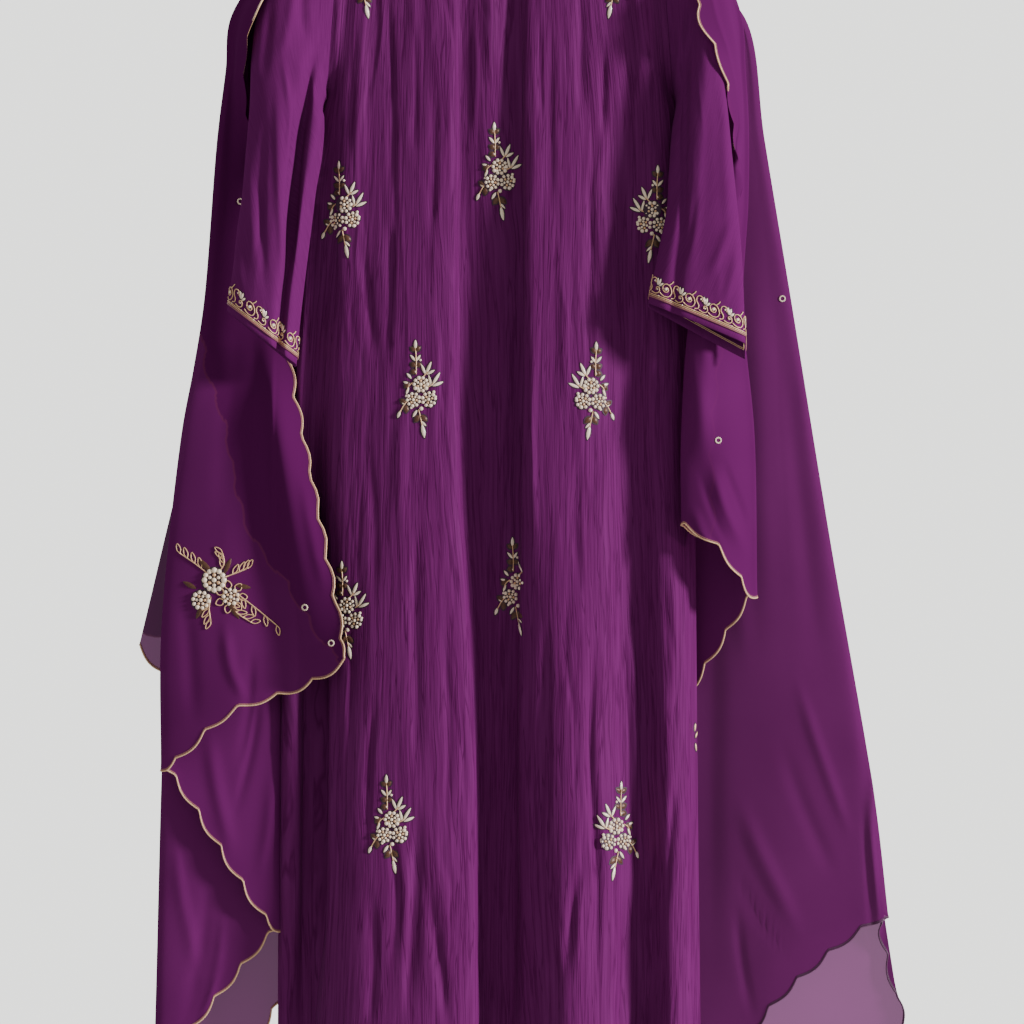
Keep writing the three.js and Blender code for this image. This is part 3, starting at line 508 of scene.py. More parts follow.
def fall_grid(lines, levels, side, row_steps, edge):
    """A stretch's smooth surface with its scalloped edges."""
    net = dupatta_net(lines, levels, side)
    across = hem_columns(net, COLUMN_PITCH, COLUMNS_A_SPAN)
    down = span_steps([row_steps] * (len(net) - 1))
    near_hem = 1 - (1 - down[-2]) * np.array([0.75, 0.5, 0.25])
    down = np.sort(np.concatenate([down, near_hem]))
    grid = net_grid(net, across, down)
    kept = side * np.maximum(side * grid[..., 0], CAP_X + SEAM_GAP)
    grid[..., 0] = np.where(grid[..., 2] > CAP_KEEP_Z, kept, grid[..., 0])
    scallop_hem(grid)
    column, share = edge
    scallop_side(grid, column, int(np.searchsorted(down, share)))
    return grid


def drape_grid(columns, rows):
    left = [points for _, points in BACK_DRAPE_SECTIONS]
    right = [[(-x, y, z) for x, y, z in points] for points in left[-2::-1]]
    grid = net_grid(np.array(left + right, float), np.linspace(0, 1, columns), np.linspace(0, 1, rows))
    grid[..., 0] = np.clip(grid[..., 0], -CAP_X, CAP_X)
    return grid


# ---- Creases ---------------------------------------------------------------------------------------------

CREASE_END = 0.35
CREASE_TURN = 3
CREASE_POINTS = 30

# route of x, z points from its top down, half width, depth (a trough is below 0), and which way it leans
FRONT_CREASES = [
    ([(-221, -830), (-219, -1100), (-222, -1500)], 11, -16, 0.2),
    ([(-246, -820), (-246, -1100), (-248, -1500)], 9, 13, 0),
    ([(-134, -225), (-129, -340), (-131, -500)], 4.5, -3.2, 0.3),
    ([(-104, -255), (-102, -330), (-104, -440)], 4, -2.6, 0),
    ([(-163, -240), (-170, -360), (-172, -470)], 7, 3, -0.3),
    ([(-80, -320), (-79, -420), (-82, -560)], 5, -2, 0),
    ([(-133, -480), (-130, -580), (-135, -690)], 5, -3.4, 0.4),
    ([(-166, -520), (-158, -600), (-148, -690)], 6, -3, 0),
    ([(-12, -200), (-10, -260), (-14, -350)], 7, 4, 0.2),
    ([(12, -190), (11, -270), (8, -380)], 5, -3, 0),
    ([(-30, -240), (-28, -330), (-33, -430)], 5, 2.5, 0),
    ([(49, -240), (48, -330), (52, -420)], 4, -2.5, 0),
    ([(62, -260), (61, -380), (64, -520)], 6, -3, 0.3),
    ([(94, -200), (97, -290), (95, -390)], 6, -4, -0.4),
    ([(124, -280), (125, -340), (123, -420)], 4, -5, 0),
    ([(108, -430), (110, -560), (107, -690)], 5, -3.2, 0.2),
    ([(150, -210), (154, -300), (152, -400)], 7, -3, 0),
    ([(78, -520), (76, -640), (80, -760)], 6, 2.4, 0),
    ([(-97, -840), (-102, -960), (-97, -1200)], 6, -3.6, -0.3),
    ([(-106, -1180), (-102, -1290), (-114, -1480)], 8, -6.5, -0.5),
    ([(-71, -960), (-60, -1120), (-66, -1260)], 5, -2.6, 0),
    ([(-176, -1080), (-188, -1200), (-200, -1400)], 7, -3, 0.3),
    ([(-148, -1060), (-156, -1160), (-160, -1270)], 4, -3, 0),
    ([(-88, -1270), (-72, -1390), (-58, -1490)], 6, -4.4, 0),
    ([(-132, -1220), (-122, -1320), (-130, -1420)], 5, -3.4, 0),
    ([(-152, -1290), (-148, -1400), (-156, -1495)], 6, -3.6, 0.3),
    ([(-160, -760), (-150, -860), (-152, -980)], 6, -2.4, 0),
    ([(-116, -700), (-120, -800), (-116, -900)], 8, 2.4, 0),
    ([(56, -960), (53, -1120), (42, -1300)], 6, -4, 0.2),
    ([(113, -980), (109, -1150), (118, -1290), (111, -1450)], 5, -6, 0.2),
    ([(150, -960), (158, -1080), (162, -1240)], 7, 5.5, -0.6),
    ([(166, -1200), (172, -1320), (176, -1480)], 7, 5, -0.6),
    ([(92, -760), (90, -860), (94, -960)], 6, -3, 0),
    ([(40, -620), (38, -760), (42, -900)], 4, 2.6, 0),
    ([(216, -1150), (204, -1240), (196, -1350)], 6, -4, 0),
    ([(205, -900), (208, -1000), (206, -1100)], 6, 3, 0),
    ([(100, -1240), (88, -1320), (74, -1430)], 6, -4, 0),
    ([(-18, -1080), (-6, -1200), (6, -1330)], 6, -3, 0),
    ([(60, -1340), (66, -1420), (60, -1498)], 6, -4, 0),
    ([(144, -1290), (150, -1390), (142, -1496)], 6, -3.6, 0),
    ([(-196, -420), (-200, -520), (-198, -640)], 6, -3, 0),
    ([(176, -430), (172, -540), (176, -680)], 6, -3, 0),
]

BACK_CREASES = [
    ([(-150, -210), (-146, -330), (-152, -460)], 6, -3.4, 0),
    ([(-118, -240), (-112, -380), (-116, -520)], 5, -2.8, 0.3),
    ([(-60, -200), (-64, -320), (-60, -420)], 6, 3, 0),
    ([(-30, -260), (-26, -420), (-32, -560)], 5, -3.2, 0),
    ([(24, -230), (28, -340), (22, -470)], 5, -3, -0.3),
    ([(62, -250), (58, -400), (64, -540)], 6, -3.4, 0),
    ([(104, -210), (110, -330), (106, -460)], 6, 3, 0.3),
    ([(146, -240), (150, -370), (146, -520)], 5, -3.4, 0),
    ([(-170, -560), (-176, -720), (-170, -860)], 6, -3.6, 0),
    ([(-96, -600), (-88, -760), (-94, -960)], 6, -4, 0.3),
    ([(-40, -700), (-48, -880), (-42, -1060)], 6, -3.6, 0),
    ([(12, -640), (20, -820), (14, -1000)], 7, 3.6, 0),
    ([(70, -660), (62, -840), (70, -1020)], 6, -4, -0.3),
    ([(128, -580), (136, -760), (130, -900)], 6, -3.6, 0),
    ([(178, -700), (172, -860), (180, -1040)], 6, -3.4, 0),
    ([(-190, -1020), (-182, -1180), (-192, -1380)], 7, -4.4, 0),
    ([(-140, -1060), (-150, -1240), (-142, -1460)], 7, -5, 0.3),
    ([(-60, -1140), (-52, -1300), (-62, -1490)], 7, -5, 0),
    ([(30, -1100), (40, -1260), (30, -1470)], 7, -5, -0.3),
    ([(96, -1120), (88, -1290), (98, -1490)], 7, -5, 0),
    ([(150, -1080), (160, -1230), (152, -1440)], 7, -4.6, 0),
    ([(204, -1180), (196, -1330), (206, -1490)], 6, -4, 0),
]

SLEEVE_CREASES = {
    LEFT: [
        ([(-246, -312), (-240, -362), (-246, -440), (-252, -600)], 8, -8, 0.3),
        ([(-224, -312), (-213, -350), (-222, -404), (-234, -480)], 7, 5, 0),
        ([(-262, -300), (-256, -330), (-250, -380), (-254, -460)], 4, 2.4, 0),
        ([(-294, -300), (-300, -420), (-288, -590)], 8, 2.6, 0.3),
        ([(-279, -360), (-284, -480), (-279, -610)], 5, -3, 0),
        ([(-266, -320), (-262, -480), (-254, -620)], 8, 3, -0.4),
        ([(-306, -470), (-312, -540), (-306, -600)], 5, 2, 0),
        ([(-272, -230), (-278, -290), (-284, -350)], 7, -2.6, 0),
        ([(-244, -220), (-252, -270), (-262, -320)], 6, 2.4, 0),
        ([(-230, -200), (-236, -250), (-232, -300)], 6, -3, 0),
        ([(-292, -440), (-284, -500), (-290, -560)], 4, -1.8, 0),
    ],
    RIGHT: [
        ([(225, -200), (222, -300), (214, -400), (206, -520)], 8, -3.4, -0.4),
        ([(246, -260), (240, -380), (232, -500), (222, -600)], 9, 2.6, 0.2),
        ([(266, -330), (268, -430), (272, -540)], 7, 2.4, 0),
        ([(276, -500), (262, -545), (246, -580)], 6, 2.6, 0),
        ([(284, -540), (274, -580), (262, -616)], 5, 2.2, 0),
        ([(256, -200), (258, -260), (254, -330)], 6, -2.4, 0),
        ([(236, -460), (226, -520), (214, -570)], 5, -2.2, 0),
        ([(214, -250), (216, -310), (210, -370)], 5, 2.4, 0),
    ],
}

LEFT_FRONT_CREASES = [
    ([(-343, -300), (-352, -460), (-360, -620)], 12, 2.6, 0.3),
    ([(-320, -560), (-326, -760), (-334, -900)], 14, -3, 0),
    ([(-272, -640), (-272, -760), (-270, -930)], 3.5, 2, 0.5),
    ([(-300, -700), (-294, -820), (-288, -960)], 9, -3, 0),
    ([(-238, -800), (-224, -880), (-206, -960)], 7, 3, 0),
    ([(-262, -900), (-246, -960), (-234, -1040)], 5, -3.4, 0.4),
    ([(-380, -940), (-372, -1020), (-366, -1120)], 10, -3, 0),
    ([(-330, -980), (-322, -1040), (-300, -1090)], 7, 2.6, 0),
    ([(-296, -1010), (-300, -1090), (-316, -1170)], 6, -3.4, 0.3),
    ([(-352, -1110), (-340, -1190), (-318, -1280)], 9, 3, 0),
    ([(-288, -1060), (-300, -1140), (-322, -1220)], 5, -4, -0.3),
    ([(-272, -1160), (-278, -1240), (-292, -1300)], 8, 3, 0),
    ([(-396, -1240), (-380, -1330), (-352, -1430)], 7, 3, 0.4),
    ([(-350, -1300), (-362, -1390), (-384, -1480)], 8, -3.4, 0),
    ([(-330, -1330), (-344, -1420), (-372, -1500)], 5, 2.6, 0),
]

RIGHT_FRONT_CREASES = [
    ([(244, -570), (238, -700), (242, -810)], 19, 13, 0.2),
    ([(288, -440), (282, -560), (292, -700)], 8, 2.6, 0),
    ([(240, -520), (236, -640), (246, -740)], 8, -2.4, 0),
    ([(262, -786), (280, -830), (300, -880)], 5, -3.6, 0.3),
    ([(250, -790), (268, -850), (298, -910)], 6, 3.4, 0),
    ([(236, -800), (258, -866), (290, -920)], 4, -3.2, 0),
    ([(228, -846), (244, -884), (272, -916)], 6, 2.6, 0),
    ([(290, -960), (282, -1000), (276, -1040)], 5, 2.4, 0),
]

RIGHT_BACK_CREASES = [
    ([(262, -760), (258, -1000), (256, -1240), (258, -1460)], 22, -5, 0.3),
    ([(306, -480), (316, -760), (322, -1060)], 18, 3.4, 0),
    ([(344, -560), (366, -840), (392, -1080)], 14, -3.4, 0),
    ([(332, -320), (352, -500), (376, -700)], 5, 2.4, 0.4),
    ([(398, -700), (418, -900), (434, -1080)], 9, 3, 0),
    ([(424, -960), (444, -1120), (452, -1260)], 6, -3, 0.3),
    ([(286, -1200), (326, -1290), (372, -1380)], 9, 3, 0),
    ([(282, -1290), (318, -1350), (360, -1400)], 4, -3, 0.3),
    ([(338, -1130), (372, -1220), (412, -1310)], 9, -3, 0),
    ([(356, -1050), (390, -1150), (430, -1260)], 7, 2.6, 0),
    ([(288, -1330), (296, -1410), (312, -1480)], 6, -3, 0),
    ([(456, -1120), (452, -1240), (468, -1400)], 5, 3.4, 0.3),
    ([(440, -1200), (450, -1320), (458, -1460)], 4, -3, 0),
    ([(300, -760), (292, -900), (300, -1060)], 12, 2.4, 0),
]

LEFT_BACK_CREASES = [
    ([(-330, -420), (-344, -600), (-362, -800)], 8, 2.6, 0),
    ([(-296, -500), (-300, -700), (-312, -900)], 9, -2.8, 0),
    ([(-390, -860), (-400, -940), (-392, -1020)], 6, 2.6, 0),
    ([(-340, -860), (-352, -950), (-368, -1040)], 6, -2.6, 0),
]

DRAPE_CREASES = [
    ([(-150, -130), (-146, -220), (-140, -330)], 9, 3, 0),
    ([(-118, -110), (-112, -220), (-116, -340)], 8, -3, 0),
    ([(-60, -120), (-52, -230), (-58, -370)], 9, 3, 0),
    ([(-20, -130), (-14, -240), (-22, -380)], 8, -3, 0),
    ([(34, -130), (40, -250), (30, -370)], 9, 3, 0),
    ([(78, -110), (70, -220), (80, -350)], 8, -3, 0),
    ([(120, -120), (128, -230), (120, -330)], 9, 3, 0),
    ([(158, -130), (152, -210), (160, -300)], 7, -2.6, 0),
]

# Where the scalloped edge of a hidden layer shows through the organza: x, z points, with the double cloth
# on the right of the way they run, painted darker there as the shade of the layer behind.
LEFT_FRONT_LAYERS = [
    [(-100, -1130), (-160, -1060), (-214, -997), (-251, -940), (-293, -884), (-310, -836), (-329, -743),
     (-348, -691), (-357, -640), (-362, -560), (-352, -400), (-345, -240)],
]
LEFT_BACK_LAYERS = [[(-240, -1002), (-400, -1000), (-560, -1006)]]


# How many crinkles lie in each pitch of width, and what their shapes are drawn from.
CRINKLES_A_PITCH = 3.4
CRINKLE_HALF = (0.2, 0.55)
CRINKLE_SIDES = [-1.0, 0.7]
CRINKLE_SIZE, CRINKLE_SIZE_POWER = (0.25, 1), 1.8
CRINKLE_START, CRINKLE_REACH = (-0.2, 1), (0.06, 0.4)
CRINKLE_SWING, CRINKLE_WAVE = (1, 6), (90, 420)
CRINKLE_SLANT = (-0.05, 0.05)
CRINKLE_END = 0.35


def crinkles(across, down, seed, pitch, depth):
    """Small wandering creases down the cloth, over its distances across and down."""
    draw = np.random.default_rng(seed)
    width, length = across.max(), down.max()
    total = np.zeros(np.broadcast(across, down).shape)
    for _ in range(int(CRINKLES_A_PITCH * width / pitch)):
        centre = draw.uniform(0, width)
        half = draw.uniform(*CRINKLE_HALF) * pitch
        size = draw.choice(CRINKLE_SIDES) * draw.uniform(*CRINKLE_SIZE) ** CRINKLE_SIZE_POWER * depth
        start, reach = draw.uniform(*CRINKLE_START) * length, draw.uniform(*CRINKLE_REACH) * length
        waves = [(draw.uniform(*CRINKLE_SWING), draw.uniform(*CRINKLE_WAVE), draw.uniform(0, 2 * math.pi))
                 for _ in range(2)]
        wander = sum(swing * np.sin(2 * np.pi * down / wave + phase) for swing, wave, phase in waves)
        slant = draw.uniform(*CRINKLE_SLANT) * (down - start)
        end = reach * CRINKLE_END
        ends = fade(down - start, end) * fade(start + reach - down, end)
        total += size * ends * np.exp(-((across - centre - wander - slant) / half) ** 2)
    return total


def crease(grid, route, width, depth, lean=0.0):
    """A soft ridge (or trough, below 0) on a grid, near a route of x, z points that runs down it.

    A lean from -1 to 1 makes its right or its left slope the steeper one.
    """
    line = smooth(np.array(route, float), np.linspace(0, 1, CREASE_POINTS))
    z = grid[..., 2]
    gap = grid[..., 0] - np.interp(-z, -line[:, 1], line[:, 0])
    half = width * np.where(gap < 0, 1 + lean, 1 - lean)
    reach = CREASE_END * (line[0, 1] - line[-1, 1])
    ends = fade(line[0, 1] - z, reach) * fade(z - line[-1, 1], reach)
    return depth * ends * np.exp(-(gap / half) ** 2)


def creases(grid, table, normals=None, facing=None):
    """All of a table's creases, only on the side that faces a way if one is given."""
    total = sum(crease(grid, *row) for row in table)
    if facing is not None:
        total = total * np.clip(CREASE_TURN * facing * normals[..., 1], 0, 1)
    return total


# How far from a hidden layer's edge its distance is still measured.
LAYER_REACH = 20
LAYER_POINTS = 90


def layer_edge(grid, routes):
    """How far inside a hidden layer's scalloped edge each point lies, up to the reach either way."""
    flat = grid[..., [0, 2]].reshape(-1, 2)
    inside = np.full(len(flat), float(-LAYER_REACH))
    for route in routes:
        line = smooth(np.array(route, float), np.linspace(0, 1, LAYER_POINTS))
        way = unit(np.gradient(line, axis=0))
        outward = np.stack([-way[:, 1], way[:, 0]], axis=-1)
        line = line + outward * scallop(lengths(line))[:, None]
        gap = flat[:, None] - line[None]
        near = np.argmin((gap ** 2).sum(axis=2), axis=1)
        gap = gap[np.arange(len(flat)), near]
        reach = -(gap * outward[near]).sum(axis=1)
        at_end = (near == 0) | (near == len(line) - 1)
        past = at_end & (np.abs((gap * way[near]).sum(axis=1)) > LAYER_REACH)
        reach = np.where(past, -LAYER_REACH, np.clip(reach, -LAYER_REACH, LAYER_REACH))
        inside = np.maximum(inside, reach)
    return inside.reshape(grid.shape[:2])


# ---- Meshes ----------------------------------------------------------------------------------------------

def add_coords(mesh, name, coords):
    """Coordinates in metres for a mesh's materials, from millimetres for each of its points."""
    layer = mesh.uv_layers.new(name=name)
    loops = np.empty(len(mesh.loops), int)
    mesh.loops.foreach_get("vertex_index", loops)
    layer.data.foreach_set("uv", (np.asarray(coords)[loops] * MM).ravel())


def add_piece(name, points, faces, materials, coords=None, face_slots=None):
    """A named mesh that rides on the suit. points are in millimetres, coords are cloth millimetres."""
    mesh = bpy.data.meshes.new(name)
    mesh.from_pydata((np.asarray(points) * MM).tolist(), [], faces)
    mesh.polygons.foreach_set("use_smooth", [True] * len(mesh.polygons))
    if coords is not None:
        add_coords(mesh, "cloth", coords)
    for material in materials:
        mesh.materials.append(material)
    if face_slots is not None:
        mesh.polygons.foreach_set("material_index", face_slots)
    mesh.update()
    piece = bpy.data.objects.new(name, mesh)
    bpy.context.collection.objects.link(piece)
    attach(piece, "root")
    return piece


def grid_faces(rows, columns, closed=False, turned=False):
    i, j = np.meshgrid(np.arange(rows - 1), np.arange(columns if closed else columns - 1), indexing="ij")
    here, beside = i * columns + j, i * columns + (j + 1) % columns
    corners = [here, here + columns, beside + columns, beside]
    if turned:
        corners = corners[::-1]
    return np.stack(corners, axis=-1).reshape(-1, 4).tolist()


def distances_down(grid):
    """Distances down each column of a grid, from its first row."""
    steps = np.linalg.norm(np.diff(grid, axis=0), axis=2)
    return np.concatenate([np.zeros((1, grid.shape[1])), np.cumsum(steps, axis=0)])


def add_cloth(name, grid, material, closed=False, turned=False, inside=None):
    """A cloth shell from a grid, with its distances across and down as its coordinates.

    inside is how far each point lies inside a hidden layer's edge, which the organza shows, partly with
    painted shade.
    """
    rows, columns = grid.shape[:2]
    middle = grid[rows // 2]
    across = np.broadcast_to(lengths(middle)[None, :], (rows, columns))
    coords = np.stack([across, distances_down(grid)], axis=-1).reshape(-1, 2)
    faces = grid_faces(rows, columns, closed, turned)
    piece = add_piece(name, grid.reshape(-1, 3), faces, [material], coords)
    if inside is not None:
        depth = inside.reshape(-1) + LAYER_REACH
        add_coords(piece.data, "layers", np.stack([depth, depth], axis=-1))
    return piece


HEM_ROWS = 3
HEM_GAP = 1.2


def with_hem(grid, normals):
    """The grid with its last rows turned up inside."""
    inner = [grid[-1] - normals[-1] * HEM_GAP * 0.5 + unit(grid[-1] - grid[-2]) * HEM_GAP * 0.4]
    inner += [grid[-1 - k] - normals[-1 - k] * HEM_GAP for k in range(HEM_ROWS)]
    return np.concatenate([grid, np.array(inner)])


# A dome's rings: shares of its radius and of its height.
DOME_RINGS = [(1.0, -0.1), (0.86, 0.55)]
# Where on half a wave a leaf starts and ends, and how blunt it is.
LEAF_FROM, LEAF_TO, LEAF_BLUNT = 0.06, 0.97, 0.75
CORD_SWELL = 0.28


class Work:
    """A joined mesh of small worked pieces, such as beads, leaves and threads."""

    def __init__(self):
        self.points = []
        self.faces = []
        self.slots = []

    def add(self, points, faces, slot):
        first = len(self.points)
        self.points.extend(points)
        self.faces.extend([first + k for k in face] for face in faces)
        self.slots.extend([slot] * len(faces))

    def dome(self, at, normal, along, length, width, height, slot, sides=8):
        """A low dome such as a bead or a satin petal, with its long side along a direction."""
        cross = np.cross(normal, along)
        points = []
        for reach, level in DOME_RINGS:
            for k in range(sides):
                angle = 2 * math.pi * k / sides
                points.append(at + along * (length / 2 * reach * math.cos(angle))
                              + cross * (width / 2 * reach * math.sin(angle)) + normal * (height * level))
        points.append(at + normal * height)
        faces = [[k, (k + 1) % sides, sides + (k + 1) % sides, sides + k] for k in range(sides)]
        faces += [[sides + k, sides + (k + 1) % sides, 2 * sides] for k in range(sides)]
        self.add(points, faces, slot)

    def leaf(self, line, normals, width, height, slot):
        """A satin leaf along a line of points: two slopes that meet in a ridge."""
        count = len(line)
        along = unit(np.gradient(line, axis=0))
        cross = np.cross(normals, along)
        swell = np.sin(np.pi * np.linspace(LEAF_FROM, LEAF_TO, count)) ** LEAF_BLUNT
        left = line + cross * (width / 2 * swell)[:, None]
        right = line - cross * (width / 2 * swell)[:, None]
        ridge = line + normals * (height * swell)[:, None]
        faces = []
        for k in range(count - 1):
            faces.append([k, k + 1, 2 * count + k + 1, 2 * count + k])
            faces.append([2 * count + k, 2 * count + k + 1, count + k + 1, count + k])
        self.add([*left, *right, *ridge], faces, slot)

    def tube(self, line, radius, slot, sides=6, closed=False):
        """A round thread along a line. radius is one number or one for each point."""
        line = np.asarray(line, float)
        if closed:
            along = unit(np.roll(line, -1, axis=0) - np.roll(line, 1, axis=0))
        else:
            along = unit(np.gradient(line, axis=0))
        first = unit(np.cross(along, (0.0, FRONT, 0.0)) + 1e-6)
        second = np.cross(along, first)
        radius = np.broadcast_to(radius, (len(line),))
        angles = 2 * np.pi * np.arange(sides) / sides
        rings = (line[:, None] + radius[:, None, None] * (
            first[:, None] * np.cos(angles)[None, :, None] + second[:, None] * np.sin(angles)[None, :, None]))
        count = len(line)
        faces = []
        for k in range(count if closed else count - 1):
            here, there = k * sides, (k + 1) % count * sides
            for s in range(sides):
                faces.append([here + s, here + (s + 1) % sides, there + (s + 1) % sides, there + s])
        if not closed:
            faces.append(list(range(sides)))
            faces.append([(count - 1) * sides + s for s in range(sides - 1, -1, -1)])
        self.add(rings.reshape(-1, 3), faces, slot)

    def cord(self, line, radius, pitch, slot):
        """A couched cord: a tube whose thickness swells between its holding stitches."""
        along = lengths(line)
        count = max(8, int(along[-1] / (pitch / 3)))
        at = np.linspace(0, along[-1], count)
        fine = np.stack([np.interp(at, along, line[:, axis]) for axis in range(3)], axis=-1)
        swell = radius * (1 - CORD_SWELL + CORD_SWELL * np.abs(np.sin(np.pi * at / pitch)))
        self.tube(fine, swell, slot)

    def finish(self, name, materials):
        return add_piece(name, self.points, self.faces, materials, face_slots=self.slots)


# ---- Materials -------------------------------------------------------------------------------------------

# How much of the organza its threads cover, on each side of the suit and where a hidden layer doubles it. The
# left's higher cover is partly painted shade, for the shadowed backdrop behind that side, and partly its
# double layers.
ORGANZA_COVER = {LEFT: 0.95, RIGHT: 0.89}
DOUBLED_COVER = 0.985

# Base colours: where the threads lie deep, and where they catch the light.
SILK_DEEP, SILK_LIT = (0.108, 0.0088, 0.088), (0.15, 0.0165, 0.126)
# Painted shade: the darker colour of the silk in its thin crinkle grooves.
SILK_GROOVE_SHADE = (0.09, 0.0068, 0.073)
SLEEVE_DEEP, SLEEVE_LIT = (0.112, 0.0096, 0.094), (0.146, 0.0156, 0.124)
ORGANZA_DEEP, ORGANZA_LIT = (0.112, 0.0096, 0.094), (0.138, 0.0136, 0.116)
# Painted shade: the organza's darker colour where a hidden layer lies behind it.
DOUBLED_PAINTED_SHADE = (0.09, 0.0067, 0.075)
SEAM_COLOUR = (0.16, 0.024, 0.09)
THROUGH_COLOUR = (0.95, 0.5, 0.86, 1)
GLOSS_TINT = (0.9, 0.4, 0.85, 1)
SHEEN_TINT = (0.8, 0.3, 0.75, 1)
WOOD_DARK, WOOD_LIGHT = (0.24, 0.12, 0.05), (0.47, 0.29, 0.15)
STEEL_DARK, STEEL_LIGHT = (0.55, 0.55, 0.57), (0.72, 0.72, 0.74)
FLOOR_DARK, FLOOR_LIGHT = (0.7, 0.7, 0.68), (0.76, 0.76, 0.74)

# The pitch of each weave and the seam of a hidden layer, in metres as the materials' coordinates are.
SILK_WEAVE, SLEEVE_WEAVE, ORGANZA_WEAVE = 0.0007, 0.0008, 0.0006
SEAM_IN, SEAM_OUT = 0.0012, 0.0026
SEAM_SHARE = 0.6
EDGE_SOFTNESS = 0.0008


class Finish:
    """A node material, built up around its principled shader."""

    def __init__(self, name, **sockets):
        self.material = bpy.data.materials.new(name)
        self.material.use_nodes = True
        self.nodes = self.material.node_tree.nodes
        self.links = self.material.node_tree.links
        self.shader = self.nodes["Principled BSDF"]
        self.fill(self.shader, {key.replace("_", " "): value for key, value in sockets.items()})

    def fill(self, node, inputs):
        for key, value in inputs.items():
            if isinstance(value, bpy.types.NodeSocket):
                self.links.new(value, node.inputs[key])
            else:
                node.inputs[key].default_value = value

    def node(self, kind, inputs, **settings):
        node = self.nodes.new("ShaderNode" + kind)
        for key, value in settings.items():
            setattr(node, key, value)
        self.fill(node, inputs)
        return node

    def noise(self, coords, scale, detail=2.0, roughness=0.5):
        """Noise whose scale is given per metre along each of the coordinates."""
        stretched = self.node("VectorMath", {0: coords, 1: scale}, operation="MULTIPLY").outputs[0]
        inputs = {"Vector": stretched, "Scale": 1.0, "Detail": detail, "Roughness": roughness}
        return self.node("TexNoise", inputs).outputs["Fac"]

    def wandering(self, coords, scale, reach):
        """Coordinates that drift sideways, so what is stretched along them wanders."""
        drift = self.range(self.noise(coords, scale, 2), 0, 1, -reach, reach)
        shift = self.node("CombineXYZ", {"X": drift}).outputs[0]
        return self.node("VectorMath", {0: coords, 1: shift}, operation="ADD").outputs[0]

    def threads(self, coords, pitch):
        """The over and under of a plain weave with the given pitch in metres."""
        waves = []
        for direction in ("X", "Y"):
            inputs = {"Vector": coords, "Scale": math.pi / 10 / pitch, "Distortion": 0.0}
            waves.append(self.node("TexWave", inputs, bands_direction=direction).outputs["Fac"])
        return self.node("Math", {0: waves[0], 1: waves[1]}, operation="MULTIPLY").outputs[0]

    def blend(self, share, first, second):
        """A mix of two colours, each three numbers or a socket."""
        node = self.node("Mix", {}, data_type="RGBA")
        colours = [(*colour, 1) if isinstance(colour, tuple) else colour for colour in (first, second)]
        self.fill(node, {0: share, 6: colours[0], 7: colours[1]})
        return node.outputs[2]

    def range(self, value, low, high, to_low, to_high):
        inputs = {"Value": value, "From Min": low, "From Max": high, "To Min": to_low, "To Max": to_high}
        return self.node("MapRange", inputs).outputs[0]

    def bump(self, layers):
        """Bumps laid over each other; each layer is a height, its strength and its distance in metres."""
        normal = None
        for height, strength, distance in layers:
            inputs = {"Height": height, "Strength": strength, "Distance": distance}
            if normal is not None:
                inputs["Normal"] = normal
            normal = self.node("Bump", inputs).outputs[0]
        self.links.new(normal, self.shader.inputs["Normal"])

    def cloth_coords(self):
        return self.node("TexCoord", {}).outputs["UV"]

    def object_coords(self):
        return self.node("TexCoord", {}).outputs["Object"]


def crinkled_silk():
    """Silk with long wandering crinkles, thin dark lines of painted shade in its crinkle grooves, and a fine
    weave.
    """
    made = Finish("crinkled_silk", Specular_IOR_Level=0.04, Specular_Tint=GLOSS_TINT,
                  Sheen_Weight=0.05, Sheen_Roughness=0.4, Sheen_Tint=SHEEN_TINT)
    coords = made.wandering(made.cloth_coords(), (9, 4, 1), 0.009)
    streaks = made.noise(coords, (300, 8, 1), 3)
    broad = made.noise(coords, (60, 5, 1), 3, 0.6)
    crush = made.noise(coords, (190, 10, 1), 3, 0.6)
    fine = made.noise(coords, (600, 14, 1), 3, 0.6)
    colour = made.blend(made.range(streaks, 0.3, 0.7, 0, 1), SILK_DEEP, SILK_LIT)
    level = made.node("Math", {0: made.noise(coords, (110, 4, 1), 3, 0.55), 1: 0.5}, operation="SUBTRACT")
    level = made.node("Math", {0: level.outputs[0]}, operation="ABSOLUTE")
    lines = made.range(level.outputs[0], 0.0, 0.03, 0, 1)
    # Painted shade: the colour is darker along the thin grooves.
    colour = made.blend(lines, SILK_GROOVE_SHADE, colour)
    made.fill(made.shader, {"Base Color": colour, "Roughness": made.range(fine, 0.2, 0.8, 0.42, 0.6)})
    made.bump([(broad, 0.45, 0.004), (crush, 0.6, 0.0014), (fine, 0.6, 0.0006), (lines, 0.35, 0.0006),
               (made.threads(coords, SILK_WEAVE), 0.15, 0.0001)])
    return made.material


def sleeve_silk():
    """Smoother silk with slubs across it."""
    made = Finish("sleeve_silk", Specular_IOR_Level=0.0, Specular_Tint=GLOSS_TINT,
                  Sheen_Weight=0.04, Sheen_Roughness=0.4, Sheen_Tint=SHEEN_TINT)
    coords = made.cloth_coords()
    slubs = made.noise(coords, (40, 700, 1), 2)
    grain = made.noise(coords, (900, 60, 1), 2)
    colour = made.blend(made.range(slubs, 0.3, 0.7, 0, 1), SLEEVE_DEEP, SLEEVE_LIT)
    made.fill(made.shader, {"Base Color": colour, "Roughness": made.range(grain, 0.2, 0.8, 0.45, 0.62)})
    made.bump([(slubs, 0.5, 0.0005), (grain, 0.4, 0.0003), (made.threads(coords, SLEEVE_WEAVE), 0.2, 0.0001)])
    return made.material


